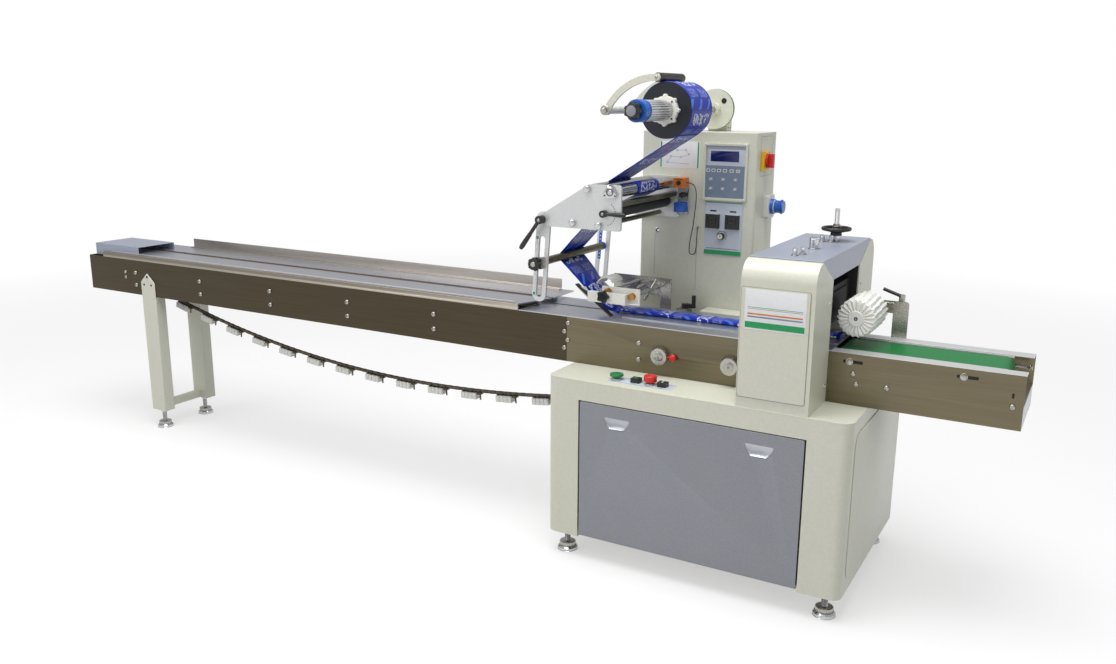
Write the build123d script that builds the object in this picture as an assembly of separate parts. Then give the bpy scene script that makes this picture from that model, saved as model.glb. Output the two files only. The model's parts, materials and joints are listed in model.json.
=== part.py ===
from build123d import *
import os
from math import asin, atan2, cos, degrees, hypot, pi, radians, sin, sqrt, tan

# Horizontal flow wrapper, all lengths in millimetres.
# X runs along the packing line towards the discharge end, Y towards the back, Z up from the floor.
# The origin is the middle of the machine's footprint on the floor.

# Base cabinet
base_length = 934
base_depth = 655
base_bottom_z = 74
base_height = 514
base_sheet = 4
base_corner_r = 30
ledge_depth = 173
base_start_offset = 29

# Flap door in the base front
door_sheet = 16
door_gap = 5
door_side_offset = 111
door_end_offset = 119
door_top_drop = 63
hinge_pin_r = 3
hinge_pin_length = 20
hinge_lug_length = 14
hinge_fit = 0.05
pull_length = 84
pull_height = 36
pull_depth = 12
pull_end_offset = 84
pull_drop = 40

# Levelling feet
foot_pad_r = 32
foot_pad_height = 14
foot_boss_r = 24
foot_boss_height = 12
foot_rod_r = 8
foot_nut_r = 14
foot_nut_height = 10
base_foot_inset = 50

# Side plates of the whole line
plate_height = 148
plate_sheet = 3
infeed_length = 2420
main_length = 850
discharge_length = 500
tie_r = 9
tie_pitch = 396
tie_start = 301
tie_count = 5

# Leg frame under the infeed
leg_start = 335
leg_length = 85
leg_depth = 45
leg_bottom_z = 80
leg_bar_height = 30
leg_bar_depth = 30
leg_bar_rise = 6
leg_apex_height = 99
leg_shoulder_height = 60
leg_ear_sheet = 4

# Infeed table
table_start = 95
table_end_gap = 187
table_width = 296
table_overhang = 31
table_rise = 22
table_sheet = 4
table_slot = 14
table_end_skew = 48
strip_sheet = 4
guide_start = 330
guide_height = 38
guide_sheet = 4
guide_foot = 22

# Tail cover on the infeed end
tail_start = 8
tail_length = 285
tail_width = 185
tail_height = 28
tail_sheet = 2
tail_front_offset = 30

# Pusher chain
chain_low_offset = 764
chain_low_drop = 218
chain_rise = 229.6
chain_link_height = 12
chain_link_width = 11
sprocket_r = 50
sprocket_width = 8
sprocket_end_offset = 200
sprocket_bore_r = 8
axle_fit = 0.05
pusher_pitch = 152
pusher_length = 75
pusher_height = 24
pusher_width = 34
pusher_first = 60
pusher_pin_r = 3
pusher_pin_length = 34
pusher_pin_gap = 10

# Main deck
deck_sheet = 3
deck_slot_length = 298
channel_start = 165
channel_width = 75
channel_gap = 10
channel_sheet = 4
cover_start = 306
cover_gap = 3
cover_wall_gap = 2

# Film
film_width = 160
film_sheet = 1
film_gap = 0.3
tube_width = 62
tube_height = 14
tube_start = 130
fold_height = 22

# Discharge conveyor
seal_to_discharge_gap = 7
discharge_flange = 48
belt_width = 145
belt_sheet = 3
belt_roller_r = 24
belt_roller_offset = 72
belt_drop = 4
belt_bed_height = 30
shaft_r = 7
end_plate_height = 62
end_plate_gap = 6

# Seal box
seal_length = 206
seal_height = 412
seal_nose_r = 55
seal_top_run = 60
seal_flap_height = 63
opening_gap = 4
seal_panel_rise = 2
seal_panel_inset = 4
seal_panel_end_inset = 13
seal_panel_bottom = 31
seal_panel_top = 73
seal_panel_r = 8
roof_sheet = 4
roof_inset = 1
jaw_drop = 40
jaw_height = 110
jaw_length = 150

# Parts on the seal box roof
post_r = 6.5
post_height = 20
post_places = ((107, 125), (120, 157), (99, 430), (124, 435))
big_post_r = 13
big_post_height = 33
big_post_place = (117, 275)
screw_r = 7
screw_height = 98
screw_place = (130, 466)
screw_collar_r = 13
screw_collar_height = 17
wheel_r = 39
wheel_rim_r = 6
wheel_rim_rise = 24
wheel_hub_r = 18
wheel_hub_height = 25
wheel_disc_height = 6
wheel_fit = 0.05
seat_gap = 0.3

# Brush over the discharge end
brush_r = 57
brush_length = 160
brush_offset_x = 54
brush_rise = 86
brush_front = 62
brush_shaft_r = 6
brush_hub_r = 19
brush_hub_rise = 3
brush_arm_reach = 82
brush_arm_height = 30
brush_arm_sheet = 6
brush_post_width = 44
brush_post_sheet = 6
brush_post_bottom = 60
brush_pin_r = 5
brush_pulley_r = 13
brush_pulley_width = 10
arm_gap = 1
clamp_reach = 55
clamp_r = 5
clamp_hub_r = 9
clamp_hub_height = 20
clamp_rise = 18

# Knobs on the main side plate
knob_r = 26
knob_height = 20
knob_stub_r = 8
knob_stub = 6
left_knob_offset = 333
right_knob_offset = 78
knob_z_offset = 64
knob_lever_r = 3
knob_lever_reach = 45
knob_ball_r = 8.5

# Rear crank
crank_x_offset = 285
crank_y_offset = 31
crank_block = 36
crank_block_height = 44
crank_shaft_r = 6
crank_hub_r = 12
crank_hub_height = 12
crank_lift = 6
crank_reach = 30
crank_arm_width = 14
crank_grip_r = 7
crank_grip_height = 30

# Buttons on the ledge
label_length = 208
label_width = 60
label_sheet = 1
label_x_offset = 186
label_front = 36
button_offsets = (21, 87, 133, 174)
button_hole_r = 11
button_collar_height = 4
button_collar_r = 14
button_stem_r = 9
button_stem_rise = 7
button_stem_depth = 3
button_fit = 0.1
green_cap_r = 21
green_cap_height = 7
red_cap_r = 20
red_cap_height = 18
selector_length = 28
selector_width = 26
selector_height = 14

# Control cabinet
cabinet_start = 51
cabinet_length = 401
cabinet_depth = 190
cabinet_height = 727
cabinet_gap = 75
cabinet_edge_r = 8
hmi_length = 150
hmi_height = 184
hmi_offset = 223
hmi_bottom = 509
hmi_rise = 9
hmi_frame = 8
hmi_recess = 3
screen_length = 97
screen_height = 34
screen_top_drop = 24
screen_left = 24
heater_panel_length = 129
heater_panel_height = 176
heater_panel_offset = 234
heater_panel_bottom = 328
heater_panel_rise = 3
controller_size = 47
controller_rise = 10
controller_offsets = (5, 73)
controller_bottom = 90
dial_r = 11
dial_rise = 16
dial_offset = 61
dial_bottom = 65
switch_plate = 62
switch_plate_rise = 10
switch_y_offset = 70
switch_drop = 89
switch_r = 23
switch_disc_height = 8
switch_grip_width = 12
switch_grip_length = 44
switch_grip_height = 16
switch_hole_r = 6
switch_pin_r = 5.9
socket_width = 60
socket_height = 76
socket_rise = 18
socket_y_offset = 118
socket_drop = 240
plug_r = 20
plug_length = 42
plug_cap_r = 25
plug_cap_length = 12

# Film unit in front of the cabinet
unit_front_offset = 75
unit_plate_sheet = 8
unit_outline = ((86, 582), (194, 582), (194, 446), (-57, 446), (-96, 472))
unit_corner_r = 8
bearing_place = (160, 562)
chrome_roller_r = 20
journal_r = 9
journal_length = 12
top_bar_place = (82, 568)
top_bar_r = 12.5
rubber_roller_place = (148, 500)
rubber_roller_r = 20
square_bar_place = (173, 524)
square_bar_width = 24
square_bar_height = 14
lower_bar_place = (122, 460)
exit_bar_place = (32, 463)
lower_bar_r = 8
bearing_cap_r = 18
bearing_cap_rise = 6
nut_r = 11
nut_rise = 13
nip_lever_place = (140, 497)
nip_lever_reach = 74
nip_lever_r = 5
nip_hub_r = 11
nip_hub_rise = 16
nip_pin_r = 5
nip_pin_fit = 0.05
link_top_place = (-77, 466)
link_bottom_place = (-96, 203)
link_width = 49
link_sheet = 8
link_slot_width = 21
link_slot_top = 54
link_slot_bottom = 14
dancer_drop_share = 0.52
dancer_r = 12.5
dancer_collar_r = 14
dancer_collar_length = 8
dancer_stud_r = 9
star_knob_r = 18
star_knob_rise = 22
clamp_block = 34
clamp_block_rise = 26
link_lever_reach = 116
link_lever_r = 6
link_lever_hub_r = 13
link_lever_rise = 24
link_lever_lean = 36

# Edge sensor on the back plate
sensor_plate_start = 189
sensor_plate_length = 40
sensor_plate_bottom = 458
sensor_plate_height = 99
sensor_plate_sheet = 4
sensor_head_start = 190
sensor_head_length = 38
sensor_head_depth = 44
sensor_head_height = 32
sensor_head_bottom = 548
sensor_slide_start = 190
sensor_slide_length = 34
sensor_slide_depth = 32
sensor_slide_bottom = 467
sensor_slide_height = 31
sensor_knob_x = 214
sensor_knob_z = 523
sensor_knob_r = 9
sensor_knob_length = 20

# Unwind on the cabinet top
roll_r = 84
roll_x_offset = 266
roll_z_rise = 72
roll_front = 68
core_r = 42
core_wall = 4
hub_r = 41.5
hub_lobe_r = 6
hub_lobe_count = 8
hub_sheet = 14
mandrel_r = 10
mandrel_box_fit = 0.05
sleeve_r = 29
sleeve_length = 150
collar_r = 31
collar_length = 44
reel_knob_r = 25
reel_knob_length = 32
brake_r = 65
brake_sheet = 14
brake_gap = 20
unwind_box_length = 66
unwind_box_depth = 45
unwind_box_over = 36
unwind_box_back = 18
brake_hub_r = 20

# Tension roller arm over the film roll
arm_pivot_dx = 190
arm_pivot_drop = 2
arm_roller_r = 14
arm_roller_dx = 26
arm_roller_gap = 0.5
arm_sheet = 9
arm_width = 21
arm_bulge = 27
arm_boss_r = 15
arm_side_gap = 10
arm_tube_r = 12
arm_tube_fit = 0.05
arm_pin_r = 6
arm_post_width = 34
arm_post_depth = 30
arm_post_over = 20

# Former
former_entry = (36, 202)
former_bar_start = 40
former_bar_length = 132
former_bar_depth = 20
former_bar_front = 10
former_bar_bottom = 205
former_bar_height = 32
former_plate_start = 76
former_plate_length = 132
former_plate_sheet = 6
former_plate_bottom = 205
former_plate_height = 48
former_plate_back = 46
bush_r = 11
bush_length = 14
bush_places = ((100, 238), (184, 230))
former_shaft_r = 6
former_bracket_start = 4
former_bracket_length = 211
former_bracket_bottom = 193
former_bracket_height = 60
former_bracket_sheet = 6
former_bracket_y = 268
former_foot_length = 38
former_knob_x = 98
former_knob_z = 226
former_knob_r = 15
former_knob_length = 12

# Sensor cable in front of the cabinet, chosen points measured from the cabinet's front left foot
cable_r = 1.5
cable_arc_share = 0.45

overrun = 10

# Places that follow from the sizes above
total_length = infeed_length + main_length + discharge_length
machine_depth = ledge_depth + table_width + cabinet_gap + cabinet_depth
line_width = table_width - table_overhang
x_left = -total_length / 2
x_right = total_length / 2
infeed_end_x = x_left + infeed_length
base_x0 = infeed_end_x + base_start_offset
base_x1 = base_x0 + base_length
base_top_z = base_bottom_z + base_height
front_y = -machine_depth / 2
back_y = front_y + base_depth
cabinet_back_y = machine_depth / 2
line_y = front_y + ledge_depth
line_back_y = line_y + line_width
plate_top_z = base_top_z + plate_height
discharge_x = x_right - discharge_length
seal_x1 = discharge_x - seal_to_discharge_gap
seal_x0 = seal_x1 - seal_length
table_top_z = plate_top_z + table_rise
web_y = line_y + table_width / 2
cabinet_x0 = base_x0 + cabinet_start
cabinet_x1 = cabinet_x0 + cabinet_length
cabinet_y0 = cabinet_back_y - cabinet_depth
cabinet_top_z = base_top_z + cabinet_height
unit_y0 = line_y - unit_front_offset
unit_y1 = cabinet_y0
film_y0 = web_y - film_width / 2
film_y1 = web_y + film_width / 2


def box(x0, x1, y0, y1, z0, z1):
    solid = Box(x1 - x0, y1 - y0, z1 - z0)
    return Pos((x0 + x1) / 2, (y0 + y1) / 2, (z0 + z1) / 2) * solid


def rod_x(y, z, r, x0, x1):
    return Pos((x0 + x1) / 2, y, z) * Rot(0, 90, 0) * Cylinder(r, x1 - x0)


def rod_y(x, z, r, y0, y1):
    return Pos(x, (y0 + y1) / 2, z) * Rot(90, 0, 0) * Cylinder(r, y1 - y0)


def rod_z(x, y, r, z0, z1):
    return Pos(x, y, (z0 + z1) / 2) * Cylinder(r, z1 - z0)


# A closed outline in X and Z, carried from y0 to y1
def prism_y(outline, y0, y1):
    face = make_face(Polyline([(x, y0, z) for x, z in outline], close=True))
    return extrude(face, amount=y1 - y0, dir=(0, 1, 0))


# A closed outline in Y and Z, carried from x0 to x1
def prism_x(outline, x0, x1):
    face = make_face(Polyline([(x0, y, z) for y, z in outline], close=True))
    return extrude(face, amount=x1 - x0, dir=(1, 0, 0))


# A flat sheet with the corners given, thickened evenly to both sides
def sheet(corners, thickness):
    face = make_face(Polyline(corners, close=True))
    return extrude(face, amount=thickness / 2, both=True)


def fuse(*solids):
    result = solids[0]
    for solid in solids[1:]:
        result = result + solid
    return result


def edges_along(solid, axis):
    return solid.edges().filter_by(axis)


def save(name, *solids):
    shape = solids[0] if len(solids) == 1 else Compound(children=list(solids))
    export_step(shape, f"parts/{name}.step")


# Levelling feet: a pad, a threaded rod and a lock nut under the carried piece
def levelling_foot(x, y, top_z):
    pad = rod_z(x, y, foot_pad_r, 0, foot_pad_height)
    pad = chamfer(pad.edges().sort_by(Axis.Z)[-1:], foot_pad_height / 3)
    boss_top_z = foot_pad_height + foot_boss_height
    boss = rod_z(x, y, foot_boss_r, foot_pad_height, boss_top_z)
    boss = chamfer(boss.edges().sort_by(Axis.Z)[-1:], foot_boss_height / 2)
    rod = rod_z(x, y, foot_rod_r, boss_top_z, top_z)
    nut = rod_z(x, y, foot_nut_r, top_z - foot_nut_height, top_z)
    return fuse(pad, boss, rod, nut)


# Quarter-round wall at a front corner of the base, side is -1 on the left and 1 on the right
def base_corner(side):
    x_edge = base_x0 if side < 0 else base_x1
    centre_x = x_edge - side * base_corner_r
    centre_y = front_y + base_corner_r
    ring = rod_z(centre_x, centre_y, base_corner_r, base_bottom_z, base_top_z - base_sheet)
    ring -= rod_z(centre_x, centre_y, base_corner_r - base_sheet, base_bottom_z, base_top_z)
    keep_x0 = min(centre_x, x_edge)
    keep_x1 = max(centre_x, x_edge)
    return ring & box(keep_x0, keep_x1, front_y, centre_y, base_bottom_z, base_top_z)


def base_side(side):
    x_edge = base_x0 if side < 0 else base_x1
    inner = x_edge - side * base_sheet
    wall = box(min(x_edge, inner), max(x_edge, inner), front_y + base_corner_r,
               back_y - base_sheet, base_bottom_z, base_top_z - base_sheet)
    return wall + base_corner(side)


door_x0 = base_x0 + door_side_offset
door_x1 = base_x1 - door_end_offset
door_z0 = base_bottom_z
door_z1 = base_top_z - door_top_drop
hinge_z = door_z0 + door_gap + door_sheet / 2
hinge_y = front_y + door_sheet / 2


def base_front():
    wall = box(base_x0 + base_corner_r, base_x1 - base_corner_r, front_y, front_y + base_sheet,
               base_bottom_z, base_top_z - base_sheet)
    hole = box(door_x0, door_x1, front_y - overrun, front_y + overrun, door_z0 - overrun,
               door_z1)
    wall -= hole
    for x_edge, side in ((door_x0, -1), (door_x1, 1)):
        x_in = x_edge + side * hinge_lug_length
        lug = box(min(x_edge, x_in), max(x_edge, x_in), front_y + base_sheet,
                  front_y + door_sheet + base_sheet, door_z0, hinge_z + door_sheet / 2)
        pin = rod_x(hinge_y, hinge_z, hinge_pin_r, min(x_in, x_edge - side * hinge_pin_length),
                    max(x_in, x_edge - side * hinge_pin_length))
        wall = fuse(wall, lug, pin)
    return wall


def base_top():
    plate = box(base_x0, base_x1, front_y, back_y, base_top_z - base_sheet, base_top_z)
    front_corners = edges_along(plate, Axis.Z).sort_by(Axis.Y)[:2]
    plate = fillet(front_corners, base_corner_r)
    for index in (0, 2):
        x = label_x0 + button_offsets[index]
        plate -= rod_z(x, label_y, button_hole_r, base_top_z - overrun, base_top_z + overrun)
    return plate


def base_floor():
    return box(base_x0 + base_sheet, base_x1 - base_sheet, front_y + base_corner_r,
               back_y - base_sheet, base_bottom_z, base_bottom_z + base_sheet)


def base_back():
    return box(base_x0, base_x1, back_y - base_sheet, back_y, base_bottom_z,
               base_top_z - base_sheet)


# The flap turns on two pins near its lower edge, so its lower rim is rounded about them
def base_door():
    x0 = door_x0 + door_gap
    x1 = door_x1 - door_gap
    panel = box(x0, x1, front_y, front_y + door_sheet, hinge_z, door_z1 - door_gap)
    rim = rod_x(hinge_y, hinge_z, door_sheet / 2, x0, x1)
    door = panel + rim
    for x_edge, side in ((x0, 1), (x1, -1)):
        deep = x_edge + side * (hinge_pin_length + door_gap)
        door -= rod_x(hinge_y, hinge_z, hinge_pin_r + hinge_fit,
                      min(x_edge - side * overrun, deep), max(x_edge - side * overrun, deep))
    for x_edge, side in ((x0, 1), (x1, -1)):
        pull_x = x_edge + side * (pull_end_offset + pull_length / 2)
        pull_z = door_z1 - pull_drop
        scoop = Pos(pull_x, front_y, pull_z) * Rot(90, 0, 0) * Cylinder(pull_length / 2,
                                                                       2 * pull_depth)
        scoop = scoop & box(pull_x - pull_length, pull_x + pull_length, front_y - overrun,
                            front_y + pull_depth, pull_z - pull_height, pull_z)
        door -= scoop
    return door


# Side plates of the line, front and back alike
def line_plate(x0, x1, y0):
    return box(x0, x1, y0, y0 + plate_sheet, base_top_z, plate_top_z)


def infeed_ties():
    z = base_top_z + plate_height / 2
    return [rod_y(x_left + tie_start + index * tie_pitch, z, tie_r, line_y + plate_sheet,
                  line_back_y - plate_sheet) for index in range(tie_count)]


def infeed_end_plate():
    return box(x_left, x_left + plate_sheet, line_y + plate_sheet, line_back_y - plate_sheet,
               base_top_z, plate_top_z)


leg_x0 = x_left + leg_start
leg_x1 = leg_x0 + leg_length


# Leg channel with a pointed ear on the outside of the side plate, side is -1 in front, 1 behind
def leg(side):
    face_y = line_y if side < 0 else line_back_y
    inner_y = face_y - side * leg_depth
    post = box(leg_x0, leg_x1, min(face_y, inner_y), max(face_y, inner_y), leg_bottom_z, base_top_z)
    outer_y = face_y + side * leg_ear_sheet
    middle_x = (leg_x0 + leg_x1) / 2
    outline = ((leg_x0, leg_bottom_z), (leg_x1, leg_bottom_z),
               (leg_x1, base_top_z + leg_shoulder_height),
               (middle_x, base_top_z + leg_apex_height),
               (leg_x0, base_top_z + leg_shoulder_height))
    ear = prism_y(outline, min(face_y, outer_y), max(face_y, outer_y))
    return post + ear


def leg_cross_bar():
    x = (leg_x0 + leg_x1) / 2
    z0 = leg_bottom_z + leg_bar_rise
    return box(x - leg_bar_depth / 2, x + leg_bar_depth / 2, line_y + leg_depth,
               line_back_y - leg_depth, z0, z0 + leg_bar_height)


table_x0 = x_left + table_start
table_x1 = infeed_end_x - table_end_gap
table_back_y = line_y + table_width
slot_y0 = web_y - table_slot / 2
slot_y1 = web_y + table_slot / 2


# The end of the table runs back at a slant, further along towards the middle
def table_half(y0, y1, skew0, skew1):
    outline = [(table_x0, y0), (table_x1 + skew0, y0), (table_x1 + skew1, y1), (table_x0, y1)]
    z = table_top_z - table_sheet
    face = make_face(Polyline([(x, y, z) for x, y in outline], close=True))
    return extrude(face, amount=table_sheet, dir=(0, 0, 1))


# Strips under the two long edges of a half, which stand it on the side plates and on the web
def table_strips(y0, y1):
    return [box(table_x0, table_x1, y, y + strip_sheet, plate_top_z, table_top_z - table_sheet)
            for y in (y0, y1 - strip_sheet)]


def back_guide_rail():
    x0 = x_left + guide_start
    foot = box(x0, table_x1, table_back_y - guide_foot, table_back_y, table_top_z,
               table_top_z + guide_sheet)
    wall = box(x0, table_x1, table_back_y - guide_sheet, table_back_y, table_top_z,
               table_top_z + guide_height)
    return foot + wall


def tail_cover():
    x0 = x_left + tail_start
    x1 = x0 + tail_length
    y0 = line_y + tail_front_offset
    y1 = y0 + tail_width
    shell = box(x0, x1, y0, y1, table_top_z, table_top_z + tail_height)
    hollow = box(x0 + tail_sheet, x1 + overrun, y0 + tail_sheet, y1 - tail_sheet,
                 table_top_z - overrun, table_top_z + tail_height - tail_sheet)
    skirt_x1 = table_x0
    skirt = box(x0, skirt_x1, y0, y1, plate_top_z, table_top_z)
    skirt -= box(x0 + tail_sheet, skirt_x1 + overrun, y0 + tail_sheet, y1 - tail_sheet,
                 plate_top_z - overrun, table_top_z + overrun)
    return (shell - hollow) + skirt


# The return run of the chain hangs in a parabola between the tail sprocket and the base
chain_low_x = base_x0 - chain_low_offset
chain_low_z = base_top_z - chain_low_drop
sprocket_x = x_left + sprocket_end_offset
chain_curve = chain_rise / (chain_low_x - sprocket_x) ** 2
pusher_room = base_x0 - sprocket_x - pusher_first - pusher_length
pusher_count = int(pusher_room / pusher_pitch)


def chain_z(x):
    return chain_low_z + chain_curve * (x - chain_low_x) ** 2


def chain_slope(x):
    return 2 * chain_curve * (x - chain_low_x)


tangent_angle = atan2(chain_slope(sprocket_x), 1)
sprocket_z = chain_z(sprocket_x) + (sprocket_r + chain_link_height / 2) * cos(tangent_angle)
sprocket_axle_x = sprocket_x - (sprocket_r + chain_link_height / 2) * sin(tangent_angle)
chain_steps = 36
wrap_steps = 12


def pusher_chain():
    half = chain_link_height / 2
    upper = []
    lower = []
    for index in range(chain_steps + 1):
        x = sprocket_x + (base_x0 - sprocket_x) * index / chain_steps
        angle = atan2(chain_slope(x), 1)
        if index == chain_steps:
            angle = 0
        upper.append((x - half * sin(angle), chain_z(x) + half * cos(angle)))
        lower.append((x + half * sin(angle), chain_z(x) - half * cos(angle)))
    y0 = web_y - chain_link_width / 2
    run = prism_y(upper + lower[::-1], y0, y0 + chain_link_width)
    inner = []
    outer = []
    for index in range(wrap_steps + 1):
        start = tangent_angle - pi / 2
        angle = start - (pi + tangent_angle) * index / wrap_steps
        reach = cos((pi + tangent_angle) / wrap_steps / 2)
        for ring, r in ((inner, (sprocket_r + seat_gap) / reach),
                        (outer, sprocket_r + chain_link_height)):
            ring.append((sprocket_axle_x + r * cos(angle), sprocket_z + r * sin(angle)))
    wrap = prism_y(inner + outer[::-1], y0, y0 + chain_link_width)
    top_z = sprocket_z + sprocket_r + seat_gap
    top = box(sprocket_axle_x, infeed_end_x, y0, y0 + chain_link_width, top_z,
              top_z + chain_link_height - seat_gap)
    return fuse(run, wrap, top)


# Nylon carriers hung under the chain at an even pitch, each followed by a pin that points down
def chain_carriers():
    carriers = []
    for index in range(pusher_count):
        x = sprocket_x + pusher_first + pusher_pitch * (index + 1)
        angle = degrees(atan2(chain_slope(x), 1))
        place = Pos(x, web_y, chain_z(x)) * Rot(0, -angle, 0)
        carrier = place * Pos(0, 0, -pusher_height / 2) * Box(pusher_length, pusher_width,
                                                              pusher_height)
        pin_x = pusher_length / 2 + pusher_pin_gap
        pin = place * Pos(pin_x, 0, -pusher_pin_length / 2) * Cylinder(pusher_pin_r,
                                                                       pusher_pin_length)
        carriers.extend((carrier, pin))
    return carriers


def tail_sprocket():
    wheel = rod_y(sprocket_axle_x, sprocket_z, sprocket_r, web_y - sprocket_width / 2,
                  web_y + sprocket_width / 2)
    axle = rod_y(sprocket_axle_x, sprocket_z, sprocket_bore_r, line_y + plate_sheet,
                 line_back_y - plate_sheet)
    return wheel + axle


def main_deck():
    x0 = table_x1 + cover_gap
    deck = box(x0, discharge_x, line_y, line_back_y, plate_top_z, plate_top_z + deck_sheet)
    deck -= box(x0 - overrun, x0 + deck_slot_length, slot_y0, slot_y1, plate_top_z - overrun,
                plate_top_z + overrun)
    return deck


channel_x0 = infeed_end_x + channel_start
channel_z0 = plate_top_z + deck_sheet


def channel(side):
    inner = web_y + side * channel_gap / 2
    outer = inner + side * channel_width
    return box(channel_x0, discharge_x, min(inner, outer), max(inner, outer), channel_z0,
               channel_z0 + channel_sheet)


def rear_drive_housing():
    x0 = base_x0 + cover_start
    y0 = table_back_y + cover_gap
    return box(x0, seal_x0 - cover_wall_gap, y0, cabinet_y0 - cover_wall_gap, base_top_z,
               plate_top_z + deck_sheet)


tube_z0 = channel_z0 + channel_sheet + film_gap
tube_x0 = infeed_end_x + tube_start


def film_tube():
    tube = box(tube_x0, seal_x1, web_y - tube_width / 2, web_y + tube_width / 2, tube_z0,
               tube_z0 + tube_height)
    return fillet(edges_along(tube, Axis.X), tube_height / 3)


# Discharge conveyor
def discharge_plate(side):
    face_y = line_y if side < 0 else line_back_y
    inner = face_y - side * plate_sheet
    wall = box(discharge_x, x_right, min(face_y, inner), max(face_y, inner), base_top_z,
               plate_top_z)
    lip = face_y - side * discharge_flange
    flange = box(discharge_x, x_right, min(face_y, lip), max(face_y, lip),
                 plate_top_z - plate_sheet, plate_top_z)
    return wall + flange


belt_top_z = plate_top_z - belt_drop
belt_y0 = line_y + (line_width - belt_width) / 2
belt_roller_x = x_right - belt_roller_offset
belt_start_x = discharge_x - seal_to_discharge_gap + belt_roller_r + belt_sheet
belt_roller_z = belt_top_z - belt_sheet - belt_roller_r


def discharge_belt():
    z0 = belt_roller_z - belt_roller_r - belt_sheet
    outer_r = belt_roller_r + belt_sheet
    y1 = belt_y0 + belt_width
    belt = box(belt_start_x, belt_roller_x, belt_y0, y1, z0, belt_top_z)
    belt = fuse(belt, rod_y(belt_start_x, belt_roller_z, outer_r, belt_y0, y1),
                rod_y(belt_roller_x, belt_roller_z, outer_r, belt_y0, y1))
    inner_r = belt_roller_r
    hollow = box(belt_start_x, belt_roller_x, belt_y0 - overrun, y1 + overrun, z0 + belt_sheet,
                 belt_top_z - belt_sheet)
    hollow = fuse(hollow, rod_y(belt_start_x, belt_roller_z, inner_r, belt_y0 - overrun,
                                y1 + overrun),
                  rod_y(belt_roller_x, belt_roller_z, inner_r, belt_y0 - overrun, y1 + overrun))
    return belt - hollow


def discharge_rollers():
    rollers = []
    for x in (belt_start_x, belt_roller_x):
        drum = rod_y(x, belt_roller_z, belt_roller_r, belt_y0, belt_y0 + belt_width)
        shaft = rod_y(x, belt_roller_z, shaft_r, line_y + plate_sheet, line_back_y - plate_sheet)
        rollers.append(drum + shaft)
    return rollers


def discharge_bed():
    top = belt_top_z - belt_sheet
    x0 = belt_start_x + belt_roller_r + end_plate_gap
    x1 = belt_roller_x - belt_roller_r - end_plate_gap
    bed = box(x0, x1, belt_y0, belt_y0 + belt_width, top - belt_bed_height, top)
    arms = []
    for x in (x0, x1 - belt_bed_height):
        arms.append(box(x, x + belt_bed_height, line_y + plate_sheet, line_back_y - plate_sheet,
                        top - belt_bed_height, top - belt_sheet))
    return fuse(bed, *arms)


def discharge_end_plate():
    return box(x_right - plate_sheet, x_right, line_y + plate_sheet, line_back_y - plate_sheet,
               base_top_z, base_top_z + end_plate_height)


# Seal box: front and rear covers with rounded noses, a sheet roof with slanted flaps between them
seal_top_z = base_top_z + seal_height
flap_z = seal_top_z - seal_flap_height
opening_y0 = line_y
opening_y1 = line_y + table_width + opening_gap


# One cover with its raised panel, side is -1 in front and 1 at the back
def seal_cover(side):
    outer_y = front_y if side < 0 else back_y
    inner_y = opening_y0 if side < 0 else opening_y1
    wall_y = outer_y - side * seal_panel_rise
    knee_y = outer_y - side * seal_top_run
    outline = ((wall_y, base_top_z), (wall_y, seal_top_z), (knee_y, seal_top_z),
               (inner_y, flap_z), (inner_y, base_top_z))
    cover = prism_x(outline, seal_x0, seal_x1)
    nose = cover.edges().filter_by(Axis.X).sort_by(Axis.Z)[-2:].sort_by(Axis.Y)
    cover = fillet([nose[0] if side < 0 else nose[-1]], seal_nose_r)
    panel = box(seal_x0 + seal_panel_inset, seal_x1 - seal_panel_end_inset,
                min(outer_y, wall_y), max(outer_y, wall_y), base_top_z + seal_panel_bottom,
                seal_top_z - seal_panel_top)
    return cover + fillet(edges_along(panel, Axis.Y), seal_panel_r)


def seal_roof():
    y0 = front_y + seal_top_run
    y1 = back_y - seal_top_run
    x0 = seal_x0 + roof_inset
    x1 = seal_x1 - roof_inset
    outline = ((y0, seal_top_z), (opening_y0, flap_z), (opening_y1, flap_z), (y1, seal_top_z),
               (y1, seal_top_z + roof_sheet), (y0, seal_top_z + roof_sheet))
    cap = prism_x(outline, x0, x1)
    return cap - box(x0 + roof_sheet, x1 - roof_sheet, opening_y0, opening_y1, flap_z - overrun,
                     seal_top_z)


def seal_jaw_housing():
    x_mid = (seal_x0 + seal_x1) / 2
    z1 = flap_z - jaw_drop
    block = box(x_mid - jaw_length / 2, x_mid + jaw_length / 2, opening_y0,
                opening_y1, z1 - jaw_height, z1)
    return block


def roof_posts():
    top = seal_top_z + roof_sheet
    posts = [rod_z(seal_x0 + dx, front_y + dy, post_r, top, top + post_height)
             for dx, dy in post_places]
    dx, dy = big_post_place
    posts.append(rod_z(seal_x0 + dx, front_y + dy, big_post_r, top, top + big_post_height))
    return posts


wheel_x = seal_x0 + screw_place[0]
wheel_y = front_y + screw_place[1]
roof_z = seal_top_z + roof_sheet


def height_screw():
    screw = rod_z(wheel_x, wheel_y, screw_r, roof_z, roof_z + screw_height)
    collar = rod_z(wheel_x, wheel_y, screw_collar_r, roof_z, roof_z + screw_collar_height)
    return screw + collar


def handwheel():
    z0 = roof_z + screw_collar_height + seat_gap
    hub = rod_z(wheel_x, wheel_y, wheel_hub_r, z0, z0 + wheel_hub_height)
    disc = rod_z(wheel_x, wheel_y, wheel_r, z0 + wheel_rim_rise - wheel_disc_height,
                 z0 + wheel_rim_rise)
    rim = Pos(wheel_x, wheel_y, z0 + wheel_rim_rise - wheel_disc_height / 2) * Torus(wheel_r,
                                                                                  wheel_rim_r)
    wheel = fuse(hub, disc, rim)
    return wheel - rod_z(wheel_x, wheel_y, screw_r + wheel_fit, z0 - overrun,
                         z0 + wheel_hub_height + overrun)


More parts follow.
